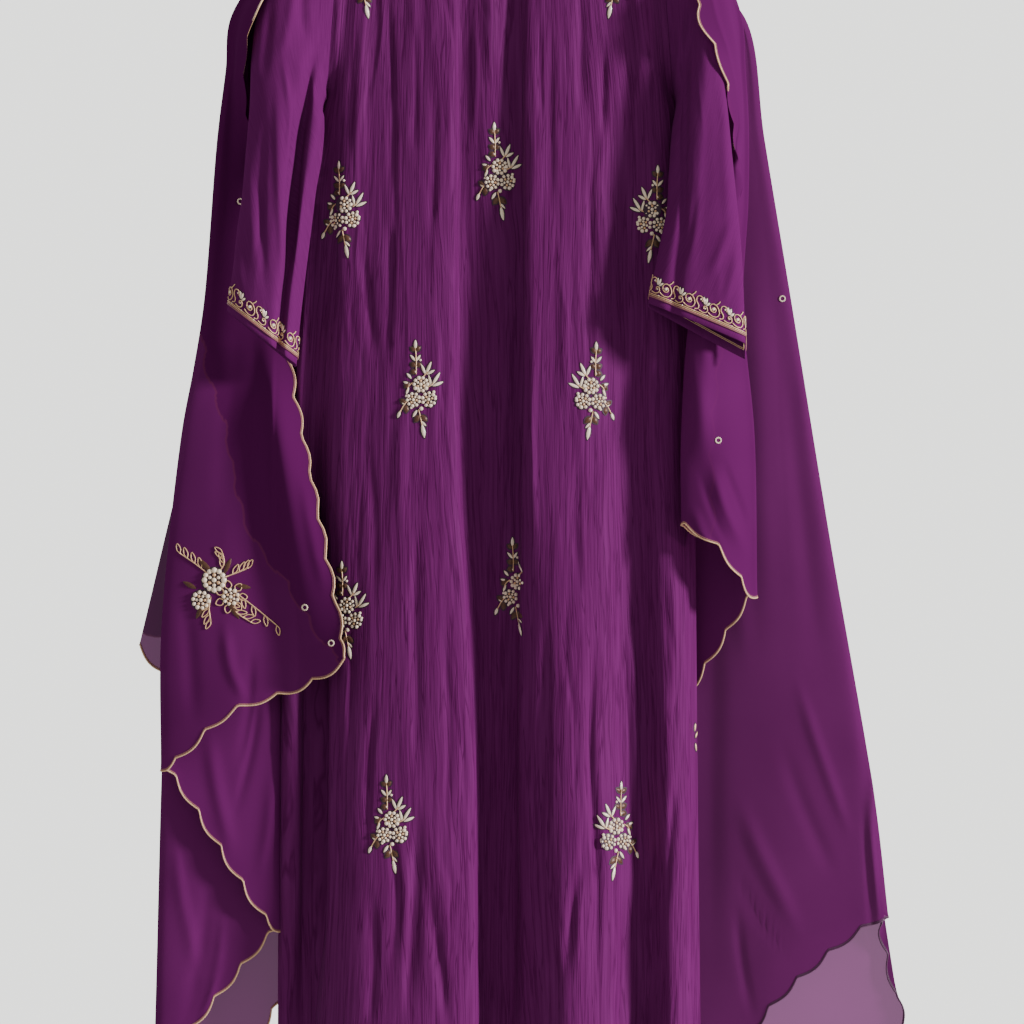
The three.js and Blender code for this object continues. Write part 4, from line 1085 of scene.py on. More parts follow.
def organza(name, cover):
    """Sheer cloth: its threads, and between them gaps that let purple light through.

    Inside a hidden layer's edge it is two layers thick: closer, painted darker as the shade of the layer
    behind, and with a thin seam along that edge.
    """
    made = Finish(name, Specular_IOR_Level=0.0, Specular_Tint=GLOSS_TINT, Sheen_Weight=0.03,
                  Sheen_Roughness=0.35, Sheen_Tint=SHEEN_TINT)
    coords = made.cloth_coords()
    cloud = made.noise(coords, (14, 5, 1), 2)
    grain = made.noise(coords, (700, 700, 1), 2)
    colour = made.blend(made.range(cloud, 0.3, 0.7, 0, 1), ORGANZA_DEEP, ORGANZA_LIT)
    layers = made.node("UVMap", {}, uv_map="layers").outputs[0]
    depth = made.node("SeparateXYZ", {"Vector": layers}).outputs[0]
    edge = LAYER_REACH * MM
    doubled_and_painted_shade = made.range(depth, edge - EDGE_SOFTNESS, edge + EDGE_SOFTNESS, 0, 1)
    # Painted shade: darker where the hidden layer lies behind.
    colour = made.blend(doubled_and_painted_shade, colour, DOUBLED_PAINTED_SHADE)
    rise = made.range(depth, edge - SEAM_IN, edge, 0, 1)
    fall = made.range(depth, edge + SEAM_IN, edge + SEAM_OUT, SEAM_SHARE, 0)
    seam = made.node("Math", {0: rise, 1: fall}, operation="MULTIPLY").outputs[0]
    colour = made.blend(seam, colour, SEAM_COLOUR)
    made.fill(made.shader, {"Base Color": colour, "Roughness": made.range(grain, 0.2, 0.8, 0.42, 0.55)})
    made.bump([(cloud, 0.4, 0.002), (made.threads(coords, ORGANZA_WEAVE), 0.25, 0.0001)])
    gaps = made.node("BsdfTransparent", {"Color": THROUGH_COLOUR}).outputs[0]
    covered = made.range(doubled_and_painted_shade, 0, 1, cover, DOUBLED_COVER)
    sheer = made.node("MixShader", {0: covered, 1: gaps, 2: made.shader.outputs[0]})
    made.links.new(sheer.outputs[0], made.nodes["Material Output"].inputs["Surface"])
    return made.material


def thread(name, dark, light, roughness, metallic=0.0, coat=0.0):
    """Twisted thread or bead work, lighter on its high strands as a painted highlight and darker on its low
    ones as painted shade.
    """
    made = Finish(name, Roughness=roughness, Metallic=metallic, Sheen_Weight=0.1, Coat_Weight=coat,
                  Coat_Roughness=0.15)
    coords = made.object_coords()
    strands = made.noise(coords, (1800, 1800, 1800), 2)
    # Painted light: the colour follows the strands' height, from painted shade low to a painted highlight
    # high.
    colour = made.blend(made.range(strands, 0.35, 0.65, 0, 1), dark, light)
    made.fill(made.shader, {"Base Color": colour})
    made.bump([(strands, 0.5, 0.0003)])
    return made.material


def hanger_wood():
    made = Finish("hanger_wood", Roughness=0.4, Coat_Weight=0.25, Coat_Roughness=0.25)
    coords = made.object_coords()
    grain = made.noise(coords, (18, 260, 420), 4, 0.6)
    colour = made.blend(made.range(grain, 0.35, 0.65, 0, 1), WOOD_DARK, WOOD_LIGHT)
    made.fill(made.shader, {"Base Color": colour})
    made.bump([(grain, 0.3, 0.0004)])
    return made.material


def hanger_steel():
    made = Finish("hanger_steel", Metallic=1.0)
    coords = made.object_coords()
    brush = made.noise(coords, (900, 900, 90), 3)
    colour = made.blend(brush, STEEL_DARK, STEEL_LIGHT)
    made.fill(made.shader, {"Base Color": colour, "Roughness": made.range(brush, 0.3, 0.7, 0.2, 0.34)})
    return made.material


SILK = crinkled_silk()
SLEEVE_SILK = sleeve_silk()
ORGANZA = {LEFT: organza("organza_left_painted_shade", ORGANZA_COVER[LEFT]),
           RIGHT: organza("organza_right", ORGANZA_COVER[RIGHT])}
# Each thread's first colour is the painted shade of its low strands and its second the painted highlight of
# its high ones.
PEARL = thread("cream_beads", (1.0, 0.68, 0.48), (1.0, 0.92, 0.76), 0.28, coat=0.6)
GOLD = thread("gold_thread", (0.62, 0.32, 0.16), (1.0, 0.68, 0.4), 0.38, 0.2)
ANTIQUE = thread("antique_leaf", (0.045, 0.013, 0.009), (0.16, 0.065, 0.03), 0.4, 0.2)
ROSE = thread("rose_thread", (0.22, 0.06, 0.08), (0.4, 0.15, 0.15), 0.5)
# A near-black thread for painted shadow: the dark outlines under leaves and the grounds under flowers.
SHADOW_THREAD = thread("painted_shadow_thread", (0.016, 0.002, 0.013), (0.05, 0.008, 0.04), 0.6)
PLUM = thread("plum_thread", (0.05, 0.004, 0.04), (0.1, 0.012, 0.08), 0.5)
WORK_FINISHES = [PEARL, GOLD, ANTIQUE, ROSE, SHADOW_THREAD, PLUM]
ON_PEARL, ON_GOLD, ON_ANTIQUE, ON_ROSE, ON_PAINTED_SHADOW, ON_PLUM = range(6)

# ---- Where the worked motifs lie -------------------------------------------------------------------------

RAY_FROM = 300


class Patch:
    """A place on a cloth shell: takes millimetres across and up to points and normals on the shell."""

    def __init__(self, tree, x, z, facing=FRONT, mirror=1, limit=None):
        self.tree, self.x, self.z, self.facing = tree, x, z, facing
        self.mirror, self.limit = mirror, limit

    def at(self, across, up):
        """The point and normal that far across and up, or nothing off the shell or past the limit."""
        x = self.x + across * self.mirror
        if self.limit is not None and x > self.limit:
            return None
        origin = Vector((x, self.facing * RAY_FROM, self.z + up))
        hit, normal, _, _ = self.tree.ray_cast(origin, Vector((0, -self.facing, 0)))
        if hit is None:
            return None
        normal = np.array(normal)
        if normal[1] * self.facing < 0:
            normal = -normal
        return np.array(hit), unit(normal)

    def line(self, route, steps=6, lift=0.6):
        """A smooth line on the shell through the route, or nothing where it leaves the shell."""
        flat = smooth(np.array(route, float), np.linspace(0, 1, steps)) if len(route) > 2 else (
            np.linspace(route[0], route[1], steps))
        found = [self.at(*point) for point in flat]
        found = [pair for pair in found if pair is not None]
        if len(found) < 3:
            return None
        points, normals = (np.array(part) for part in zip(*found))
        return points + normals * lift, normals


class Cuff(Patch):
    """A place on a closed cuff: takes millimetres round it and up from its hem."""

    def __init__(self, grid, normals):
        self.grid, self.normals = grid[::-1], normals[::-1]
        self.round = lengths(np.concatenate([grid[-1], grid[-1][:1]]))
        self.rise = distances_down(self.grid)
        self.length = self.round[-1]

    def at(self, across, up):
        columns = self.grid.shape[1]
        column = np.interp(across % self.length, self.round, np.arange(columns + 1))
        first, share = int(column), column - int(column)
        ends = []
        for number in (first % columns, (first + 1) % columns):
            place = np.interp(up, self.rise[:, number], np.arange(len(self.grid)))
            row = min(int(place), len(self.grid) - 2)
            part = place - row
            ends.append([values[row, number] * (1 - part) + values[row + 1, number] * part
                         for values in (self.grid, self.normals)])
        point, normal = (here * (1 - share) + there * share for here, there in zip(*ends))
        return point, unit(normal)


def tree_of(grid):
    return BVHTree.FromPolygons(grid.reshape(-1, 3).tolist(), grid_faces(*grid.shape[:2]))


# How far a leaf's dark outline, a painted shadow round it, reaches past its ends, and how much wider it is.
SHADOW_OUTLINE_AHEAD = 1.3
SHADOW_OUTLINE_WIDER = 2.8
SHADOW_OUTLINE_LIFT = 0.35
SHADOW_OUTLINE_HEIGHT = 0.5
# shares of a leaf's width and of a bead's radius
LEAF_HEIGHT = 0.34
BEAD_HEIGHT = 0.9
# A looped leaf's outline: shares of its length ahead and of its half width aside, between its two ends.
LOOP_SIDE = [(0.35, 0.9), (0.7, 0.75)]
LOOP_RADIUS, STEM_RADIUS, THREAD_LIFT = 0.7, 0.75, 0.8


def work_leaf(work, patch, base, tip, width, slot, lift=0.7, with_painted_shadow=True):
    """A satin leaf, over a dark outline of painted shadow that is a little larger."""
    found = patch.line([base, tip], 5, lift)
    if found is None:
        return
    if with_painted_shadow:
        base, tip = np.array(base, float), np.array(tip, float)
        ahead = unit(tip - base) * SHADOW_OUTLINE_AHEAD
        # The dark outline is painted shadow, a near-black leaf just under the satin one.
        under = patch.line([base - ahead, tip + ahead], 5, SHADOW_OUTLINE_LIFT)
        if under is not None:
            work.leaf(*under, width + SHADOW_OUTLINE_WIDER, SHADOW_OUTLINE_HEIGHT, ON_PAINTED_SHADOW)
    work.leaf(*found, width, width * LEAF_HEIGHT, slot)


def work_loop(work, patch, base, tip, width):
    """A leaf or petal drawn in outline with a thread."""
    base, tip = np.array(base, float), np.array(tip, float)
    ahead = tip - base
    side = unit(np.array([-ahead[1], ahead[0]])) * width / 2
    out = [base + ahead * along + side * aside for along, aside in LOOP_SIDE]
    home = [base + ahead * along - side * aside for along, aside in LOOP_SIDE[::-1]]
    found = patch.line([base, *out, tip, *home, base], 14, THREAD_LIFT)
    if found is not None:
        work.tube(found[0], LOOP_RADIUS, ON_GOLD, sides=5)


def work_stem(work, patch, route, radius=STEM_RADIUS):
    found = patch.line(route, 8, THREAD_LIFT)
    if found is not None:
        work.tube(found[0], radius, ON_GOLD, sides=5)


def level_way(normal):
    """The level direction along a shell with this normal."""
    return unit(np.cross(normal, (0.0, 0.0, 1.0)))


def work_bead(work, patch, across, up, radius, slot=ON_PEARL, lift=0.5):
    found = patch.at(across, up)
    if found is not None:
        point, normal = found
        work.dome(point + normal * lift, normal, level_way(normal), 2 * radius, 2 * radius,
                  BEAD_HEIGHT * radius, slot, sides=7)


# Shares of a flower's radius: its ground, a dark disc of painted shadow, its rings of beads and the beads in
# them.
SHADOW_GROUND_SHARE = 2.2
OUTER_RING, OUTER_BEAD, LARGE_BEAD = 0.78, 0.22, 0.25
INNER_RING, INNER_BEAD, INNER_COUNT = 0.41, 0.16, 6
HEART_BEAD = 0.21


def work_flower(work, patch, across, up, radius, petals, turn=0.0):
    """A flower of two rings of beads round a pearl, on a dark ground of painted shadow."""
    heart = patch.at(across, up)
    if heart is None:
        return
    point, normal = heart
    # A dark disc of painted shadow under the flower.
    width = SHADOW_GROUND_SHARE * radius
    work.dome(point + normal * 0.2, normal, level_way(normal), width, width, 0.6, ON_PAINTED_SHADOW, sides=14)
    for k in range(petals):
        angle = turn + 2 * math.pi * k / petals
        bead = OUTER_BEAD if k % 3 else LARGE_BEAD
        work_bead(work, patch, across + radius * OUTER_RING * math.cos(angle),
                  up + radius * OUTER_RING * math.sin(angle), radius * bead, ON_PEARL, 0.7)
    for k in range(INNER_COUNT):
        angle = turn + 2 * math.pi * (k + 0.5) / INNER_COUNT
        work_bead(work, patch, across + radius * INNER_RING * math.cos(angle),
                  up + radius * INNER_RING * math.sin(angle), radius * INNER_BEAD,
                  ON_GOLD if k % 2 else ON_PEARL, 1.1)
    work_bead(work, patch, across, up, radius * HEART_BEAD, ON_PEARL, 1.6)


# A buti is drawn round its middle, in millimetres across and up. Half of them are mirrored.
BUTI_STEMS = [
    [(-3, 50), (-2, 36), (-2, 18)],
    [(1, -24), (3, -33), (5, -43)],
    [(-11, -12), (-16, -18), (-21, -27)],
    [(4, 12), (8, 17), (12, 21)],
    [(10, 2), (16, 5), (19, 8)],
    [(-6, 8), (-11, 4), (-13, -2)],
]
# base, tip, width
BUTI_LEAVES = [
    ((-3, 48), (-3, 59), 4.6), ((-3, 34), (-9, 41), 3.6), ((-2, 34), (3, 41), 3.4),
    ((9, 18), (4, 30), 3.8), ((10, 19), (16, 33), 4.4), ((11, 18), (20, 23), 3.8),
    ((16, 4), (13, 17), 3.8), ((17, 5), (26, 20), 4.2), ((18, 4), (30, 9), 4.0),
    ((-8, 13), (-13, 19), 3.6), ((-10, 6), (-17, 9), 3.8), ((-11, 2), (-14, -6), 3.4),
    ((5, -42), (8, -58), 5.4), ((4, -38), (10, -44), 3.0), ((-21, -26), (-24, -34), 4.4),
    ((-1, -25), (-6, -33), 3.8), ((-15, -18), (-20, -15), 3.2),
]
# The dark leaves under the pale ones.
BUTI_SHADES = [
    ((-3, 46), (-9, 50), 5.0), ((-3, 46), (3, 51), 5.0), ((-2, 28), (-9, 31), 6.0), ((-2, 22), (-9, 20), 6.0),
    ((-2, 28), (4, 31), 5.0), ((2, -31), (-4, -39), 6.0), ((3, -31), (11, -38), 6.0),
    ((-14, -17), (-21, -12), 5.6), ((-14, -19), (-14, -28), 6.0), ((-10, 8), (-16, 2), 6.0),
]
# across, up, radius, petals
BUTI_FLOWERS = [(3.5, 6, 10.2, 10), (-5.5, -12.5, 9.4, 9), (13, -12, 9.8, 9)]
# across, up, radius
BUTI_BEADS = [(3, 35, 1.6), (4, -23, 2.6), (19, -3, 1.9), (21, -9, 1.9), (16, -19, 2.0), (0, 1, 2.2),
              (-14, -8, 1.5), (9, 5, 1.8), (-3, 21, 1.6), (-8, -22, 1.7)]
LEAF_WIDTH = 0.84
SHADE_WIDTH = 1.15


def buti(work, patch):
    for base, tip, width in BUTI_SHADES:
        work_leaf(work, patch, base, tip, SHADE_WIDTH * width, ON_ANTIQUE, 0.4)
    for route in BUTI_STEMS:
        work_stem(work, patch, route)
    for base, tip, width in BUTI_LEAVES:
        work_leaf(work, patch, base, tip, LEAF_WIDTH * width, ON_PEARL)
    for k, (across, up, radius, petals) in enumerate(BUTI_FLOWERS):
        work_flower(work, patch, across, up, radius, petals, 0.4 * k)
    for across, up, radius in BUTI_BEADS:
        work_bead(work, patch, across, up, radius)


BOUQUET_STEMS = [
    [(-14, 12), (-30, 24), (-48, 36)], [(8, 8), (24, 14), (34, 18)],
    [(16, -8), (40, -26), (70, -50)], [(4, -14), (20, -34), (38, -46)],
    [(-10, -16), (-12, -30), (-10, -44)], [(0, 14), (6, 24), (4, 36)],
]
# across, up, radius, petals
BOUQUET_FLOWERS = [(-6, 4, 15, 12), (-22, -20, 12, 10), (14, -16, 11, 9)]
# base, tip, width
BOUQUET_SHADES = [
    ((-10, 14), (-26, 30), 7), ((6, 12), (14, 30), 6), ((20, -2), (38, -5), 6), ((10, -20), (24, -42), 7),
    ((-18, -24), (-28, -42), 7), ((-28, -6), (-44, 2), 6),
]
BOUQUET_STEM_RADIUS = 0.8
# Looped leaves stand at every second of these points along each stem, and lean ahead and aside.
SPRAY_POINTS = 8
SPRAY_LEAF, SPRAY_END_LEAF, SPRAY_WIDTH = 12.5, 11, 5.2
SPRAY_AHEAD, SPRAY_ASIDE = 0.85, 0.7
# Looped petals stand round the third flower.
LOOP_PETALS = 7
LOOP_FROM, LOOP_TO, LOOP_WIDTH = 9, 20, 9


def bouquet(work, patch):
    """Three larger flowers with leafy sprays."""
    for base, tip, width in BOUQUET_SHADES:
        work_leaf(work, patch, base, tip, width, ON_ANTIQUE, 0.2, with_painted_shadow=False)
    for number, route in enumerate(BOUQUET_STEMS):
        work_stem(work, patch, route, BOUQUET_STEM_RADIUS)
        line = smooth(np.array(route, float), np.linspace(0, 1, SPRAY_POINTS + 1))
        for k in range(2, SPRAY_POINTS + 1, 2):
            ahead = unit(line[min(k + 1, SPRAY_POINTS)] - line[k - 1])
            side = np.array([-ahead[1], ahead[0]]) * (1 if number % 2 else -1)
            reach = SPRAY_LEAF if k < SPRAY_POINTS else SPRAY_END_LEAF
            tip = line[k] + (ahead * SPRAY_AHEAD + side * SPRAY_ASIDE) * reach
            work_loop(work, patch, line[k], tip, SPRAY_WIDTH)
    centre = np.array(BOUQUET_FLOWERS[2][:2], float)
    for k in range(LOOP_PETALS):
        angle = 2 * math.pi * k / LOOP_PETALS
        ahead = np.array([math.cos(angle), math.sin(angle)])
        work_loop(work, patch, centre + ahead * LOOP_FROM, centre + ahead * LOOP_TO, LOOP_WIDTH)
    for k, (across, up, radius, petals) in enumerate(BOUQUET_FLOWERS):
        work_flower(work, patch, across, up, radius, petals, 0.5 * k)


# A cuff's scroll border in one repeat, in millimetres round the cuff and up from its hem.
SCROLL_PITCH = 34
SCROLL_ROUTES = [
    [(1, 17), (6, 14.5), (13, 16), (16, 22), (13, 28.5), (7, 29.5), (3.5, 25.5), (5, 20.5), (9.5, 20),
     (11.5, 23.5), (9, 26)],
    [(16, 15), (20.5, 17), (21, 21), (18, 25), (19, 30.5), (23.5, 32.5), (27, 30), (25.5, 27)],
    [(22, 15.5), (28, 14.5), (32.5, 18), (31.5, 22.5), (28, 22), (28, 19)],
    [(12, 30), (15, 33), (17, 36)],
]
SCROLL_LEAVES = [((29, 25), (27.5, 33), 3.0), ((30, 25), (32, 33), 3.0), ((31, 24), (36, 29), 2.8)]
SCROLL_BEADS = [(8, 23.5, 2.1), (24, 29, 1.3), (29.6, 20, 1.2), (15.5, 12.5, 1.0), (32.5, 12.8, 1.0)]
SCROLL_RADIUS = 0.68
LINE_POINTS = 160
# How deep inside the cuff the cords on its lining lie, and how far the cuff has to face them.
LINING_DEPTH = 1.9
LINING_TURN = 0.3
# rise from the hem, radius, finish
CUFF_LINES = [(12.4, 0.62, ON_GOLD), (10.6, 0.5, ON_GOLD), (8.8, 0.9, ON_ROSE)]


def cuff_border(work, cuff, lining):
    """A scroll vine above three cords, and the gold ones again inside, on the side that lining names."""
    repeats = round(cuff.length / SCROLL_PITCH)
    pitch = cuff.length / repeats
    for first in pitch * np.arange(repeats):
        for route in SCROLL_ROUTES:
            points = cuff.line([(first + across, up) for across, up in route], 18, 0.9)[0]
            work.tube(points, SCROLL_RADIUS, ON_GOLD, sides=5)
        for base, tip, width in SCROLL_LEAVES:
            work_leaf(work, cuff, (first + base[0], base[1]), (first + tip[0], tip[1]), width, ON_PEARL)
        for across, up, radius in SCROLL_BEADS:
            work_bead(work, cuff, first + across, up, radius)
    places = np.linspace(0, cuff.length, LINE_POINTS, endpoint=False)
    for rise, radius, slot in CUFF_LINES:
        points, normals = (np.array(part) for part in zip(*[cuff.at(place, rise) for place in places]))
        work.tube(points + normals * 0.7, radius, slot, sides=6, closed=True)
        inside = lining * normals[:, 1] > LINING_TURN
        if slot == ON_GOLD and inside.any():
            start = int(np.argmax(inside & ~np.roll(inside, 1)))
            order = [k % len(places) for k in range(start, start + int(inside.sum()))]
            work.tube((points - normals * LINING_DEPTH)[order], radius * 0.8, slot, sides=5)


RING_RADIUS = 3.2
RING_BEADS, RING_BEAD = 12, 1.05


def ring(work, patch):
    """A small round eyelet of beads."""
    for angle in np.linspace(0, 2 * math.pi, RING_BEADS + 1)[:-1]:
        across, up = RING_RADIUS * math.cos(angle), RING_RADIUS * math.sin(angle)
        work_bead(work, patch, across, up, RING_BEAD, ON_PEARL)


# ---- Building --------------------------------------------------------------------------------------------

# The shell reaches a little further out below each underarm, where the sleeve's seam starts, and low on
# the left. The last number of each is how far in from the side it still does.
GUSSET_WIDTH, GUSSET_Z, GUSSET_REACH, GUSSET_IN = 5, -372, 24, 40
LEFT_WIDEN, LEFT_WIDEN_Z, LEFT_WIDEN_REACH, LEFT_WIDEN_IN = 8, -820, 80, 30
PANEL_TOP_ROWS = 16
# pitch, depth
PANEL_CRINKLES = [(9, 1.3), (22, 1.6)]
# How far in from a side or the top edge the creases are still weaker.
PANEL_SIDE_CALM = 14
PANEL_TOP_CALM = 60


def dressed_panel(folds, facing, neck_drop, seed, fold_steps, rows):
    """A panel's grid with its creases."""
    grid = panel_grid(folds, facing, neck_drop, fold_steps, PANEL_TOP_ROWS, rows)
    x, z = grid[..., 0], grid[..., 2]
    across = lengths(grid[len(grid) // 2])[None, :]
    down = z.max() - z
    size = sum(crinkles(across, down, seed + k, *row) for k, row in enumerate(PANEL_CRINKLES))
    size += creases(grid, FRONT_CREASES if facing == FRONT else BACK_CREASES)
    beside = np.minimum(across, across.max() - across)
    edge = fade(beside, PANEL_SIDE_CALM) * fade(down, PANEL_TOP_CALM)
    crinkled = grid + grid_normals(grid) * (size * edge)[..., None]
    crinkled[..., 1] = facing * np.maximum(facing * crinkled[..., 1], SEAM_GAP / 2)
    widen = GUSSET_WIDTH * np.exp(-((z - GUSSET_Z) / GUSSET_REACH) ** 2)
    widen = widen * np.clip(1 - beside / GUSSET_IN, 0, 1)
    low = fade(LEFT_WIDEN_Z - z, LEFT_WIDEN_REACH) * (x < 0)
    widen += LEFT_WIDEN * low * np.clip(1 - beside / LEFT_WIDEN_IN, 0, 1)
    crinkled[..., 0] += np.sign(x) * widen
    return crinkled


def build_kurta():
    made = {}
    for name, folds, facing, drop, seed, steps, rows in (
            ("kurta_front", FRONT_FOLDS, FRONT, FRONT_NECK_DROP, 11, 19, 210),
            ("kurta_back", BACK_FOLDS, BACK, BACK_NECK_DROP, 29, 22, 180)):
        crinkled = dressed_panel(folds, facing, drop, seed, steps, rows)
        shell = with_hem(crinkled, grid_normals(crinkled))
        piece = add_cloth(name + "_silk", shell, SILK)
        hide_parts(name)
        made[name] = (crinkled, piece)
    return made


# A cuff's back hangs lower than its front, and the drop is least at the cuff's left end.
CUFF_DROP = {LEFT: 4, RIGHT: 19}
CUFF_DROP_LEAST = 0.2
CUFF_DROP_REACH = 90
CUFF_DROP_TURN = 1.6
# pitch, depth
SLEEVE_CRINKLES = (16, 1.0)
SLEEVE_TOP_CALM, SLEEVE_HEM_CALM, SLEEVE_SEAM_CALM = 30, 40, 12


def build_sleeve(side, name, seed):
    """A sleeve with its creases, and its cuff's back a little lower than its front."""
    grid = sleeve_grid(side, 11, 18)
    normals = grid_normals(grid, closed=True)
    across = lengths(grid[len(grid) // 2])[None, :]
    down = lengths(grid[:, 0])[:, None]
    size = crinkles(across, down, seed, *SLEEVE_CRINKLES)
    ends = fade(down, SLEEVE_TOP_CALM) * fade(down.max() - down, SLEEVE_HEM_CALM)
    around = fade(np.minimum(across, across.max() - across), SLEEVE_SEAM_CALM)
    size = size * around + creases(grid, SLEEVE_CREASES[side], normals, FRONT)
    creased = grid + normals * (size * ends)[..., None]
    near_cuff = np.clip(1 - (down.max() - down) / CUFF_DROP_REACH, 0, 1) ** 2
    low = near_cuff * np.clip(CUFF_DROP_TURN * normals[-1, :, 1], 0, 1)
    cuff_x = grid[-1, :, 0]
    low *= CUFF_DROP_LEAST + (1 - CUFF_DROP_LEAST) * (cuff_x - cuff_x.min()) / np.ptp(cuff_x)
    creased += CUFF_DROP[side] * low[..., None] * unit(grid[-1] - grid[-3])
    outward = grid_normals(creased, closed=True)
    shell = with_hem(creased, outward)
    piece = add_cloth(name + "_silk", shell, SLEEVE_SILK, closed=True)
    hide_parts(name)
    return Cuff(creased, outward), piece


# How much of its stated depth a trough in a fall keeps, and a crease in the back drape.
TROUGH_SHARE = 0.6
DRAPE_SHARE = 0.7


def build_fall(name, lines, levels, side, row_steps, edge, table, turned=False, layers=()):
    """A stretch of the dupatta with its creases, and with the edges of the layers behind it."""
    grid = fall_grid(lines, levels, side, row_steps, edge)
    size = creases(grid, table)
    grid[..., 1] += FRONT * np.where(size < 0, TROUGH_SHARE * size, size)
    inside = layer_edge(grid, layers) if layers else None
    piece = add_cloth(name + "_organza", grid, ORGANZA[side], turned=turned, inside=inside)
    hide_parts(name)
    return grid, piece


BAR_END = 0.04
BAR_END_LEAST = 0.02
BAR_SIDES = 24
BAR_SQUARE = (0.7, 0.5)
BAR_POINTS = 40
WIRE_POINTS = 90
WIRE_SIDES = 14


def sweep_sizes(count):
    """Half width and half height of the hanger's bar along its length, rounded at both ends."""
    place = np.linspace(-1, 1, count)
    round_end = np.sqrt(np.clip((1 - np.abs(place)) / BAR_END, BAR_END_LEAST, 1))
    return [(BAR_DEPTH / 2 * r, BAR_DROP / 2 * r) for r in round_end]


def sweep(name, line, across, section, material):
    """A solid bar: a closed section of side and up shares carried along a line, with closed ends."""
    along = unit(np.gradient(line, axis=0))
    up = np.cross(along, across)
    rings = [point + np.outer(section[:, 0] * width, across) + np.outer(section[:, 1] * height, lift)
             for point, lift, (width, height) in zip(line, up, sweep_sizes(len(line)))]
    sides = len(section)
    faces = grid_faces(len(line), sides, closed=True)
    faces += [list(range(sides)), [(len(line) - 1) * sides + k for k in range(sides - 1, -1, -1)]]
    return add_piece(name, np.concatenate(rings), faces, [material])


def build_hanger():
    tip = (BAR_HALF, float(upper_edge(np.array(float(BAR_HALF)), 0)) - BAR_CLEAR)
    half = smooth([(x, z) for x, z in [*HANGER_TOP, tip]], np.linspace(0, 1, BAR_POINTS))
    whole = np.concatenate([half[:0:-1] * [-1, 1], half])
    line = np.stack([whole[:, 0], np.zeros(len(whole)), whole[:, 1] - BAR_DROP / 2], axis=-1)
    angles = np.linspace(0, 2 * np.pi, BAR_SIDES + 1)[:-1]
    circle = np.stack([np.cos(angles), np.sin(angles)], axis=-1)
    section = np.sign(circle) * np.abs(circle) ** BAR_SQUARE
    bar = sweep("hanger_wood_bar", line, np.array([0.0, 1.0, 0.0]), section, hanger_wood())
    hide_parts("hanger_bar")
    turn = np.radians(np.linspace(HOOK_FROM, HOOK_TO, HOOK_POINTS))
    arc = [(HOOK_RADIUS * math.cos(a), HOOK_CENTRE_Z + HOOK_RADIUS * math.sin(a)) for a in turn]
    route = smooth([(x, 0, z) for x, z in [*HOOK_SHANK, *arc]], np.linspace(0, 1, WIRE_POINTS))
    wire = Work()
    wire.tube(route, WIRE_RADIUS, 0, sides=WIRE_SIDES)
    wire.dome(route[-1], unit(route[-1] - route[-2]), np.array([0.0, 1.0, 0.0]), 2 * WIRE_RADIUS,
              2 * WIRE_RADIUS, WIRE_RADIUS, 0, sides=WIRE_SIDES)
    hook = wire.finish("hanger_steel_hook", [hanger_steel()])
    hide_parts("hanger_hook")


# Which side of a fall is scalloped too, and from which share of the way down.
FRONT_EDGE = (0, 0.0)
REAR_EDGE = (-1, 0.25)

kurta = build_kurta()
left_cuff, left_sleeve_piece = build_sleeve(LEFT, "sleeve_left", 41)
right_cuff, right_sleeve_piece = build_sleeve(RIGHT, "sleeve_right", 43)
left_front, left_front_piece = build_fall(
    "dupatta_left_front_fall", LEFT_FRONT_LINES, LEFT_FRONT_LEVELS, LEFT, 24, FRONT_EDGE,
    LEFT_FRONT_CREASES, turned=True, layers=LEFT_FRONT_LAYERS)
left_back, left_back_piece = build_fall(
    "dupatta_left_back_fall", LEFT_BACK_LINES, LEFT_BACK_LEVELS, LEFT, 20, REAR_EDGE,
    LEFT_BACK_CREASES, layers=LEFT_BACK_LAYERS)
right_front, right_front_piece = build_fall(
    "dupatta_right_front_fall", RIGHT_FRONT_LINES, RIGHT_FRONT_LEVELS, RIGHT, 20, FRONT_EDGE,
    RIGHT_FRONT_CREASES)
right_back, right_back_piece = build_fall(
    "dupatta_right_back_fall", RIGHT_BACK_LINES, RIGHT_BACK_LEVELS, RIGHT, 20, REAR_EDGE,
    RIGHT_BACK_CREASES)
drape = drape_grid(90, 140)
drape[..., 1] += creases(drape, DRAPE_CREASES, grid_normals(drape), BACK) * DRAPE_SHARE
drape_piece = add_cloth("dupatta_back_drape_organza", drape, ORGANZA[LEFT])
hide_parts("dupatta_back_drape")
build_hanger()

# Butis: x, z, whether mirrored, and the x past which a fold hides the cloth.
FRONT_BUTIS = [
    (-166, -204, 1, None), (138, -204, -1, None),
    (-190, -492, 1, None), (-4, -446, 1, None), (186, -498, -1, None),
    (-98, -708, 1, None), (112, -710, -1, None),
    (18, -944, 1, 27), (-186, -972, 1, None),
    (-132, -1226, 1, None), (142, -1236, -1, None),
]
BACK_BUTIS = [
    (-140, -460, 1), (0, -560, -1), (140, -460, -1), (-80, -760, 1), (90, -760, -1), (-170, -940, 1),
    (0, -980, 1), (170, -940, -1), (-90, -1200, 1), (90, -1200, -1), (0, -1400, 1),
]
front_work = Work()
front_tree = tree_of(kurta["kurta_front"][0])
for x, z, mirror, limit in FRONT_BUTIS:
    buti(front_work, Patch(front_tree, x, z, FRONT, mirror, limit=limit))
# A last buti is almost wholly inside a fold, and shows only three leaves.
GLIMPSE_LEAVES = [((-1, 10), (0, 19), 2.6), ((0, 2), (2, 9), 2.6), ((1, -14), (0, -5), 2.6)]
for base, tip, width in GLIMPSE_LEAVES:
    work_leaf(front_work, Patch(front_tree, 235, -1128), base, tip, width, ON_GOLD)
front_work.finish("kurta_front_butis", WORK_FINISHES)

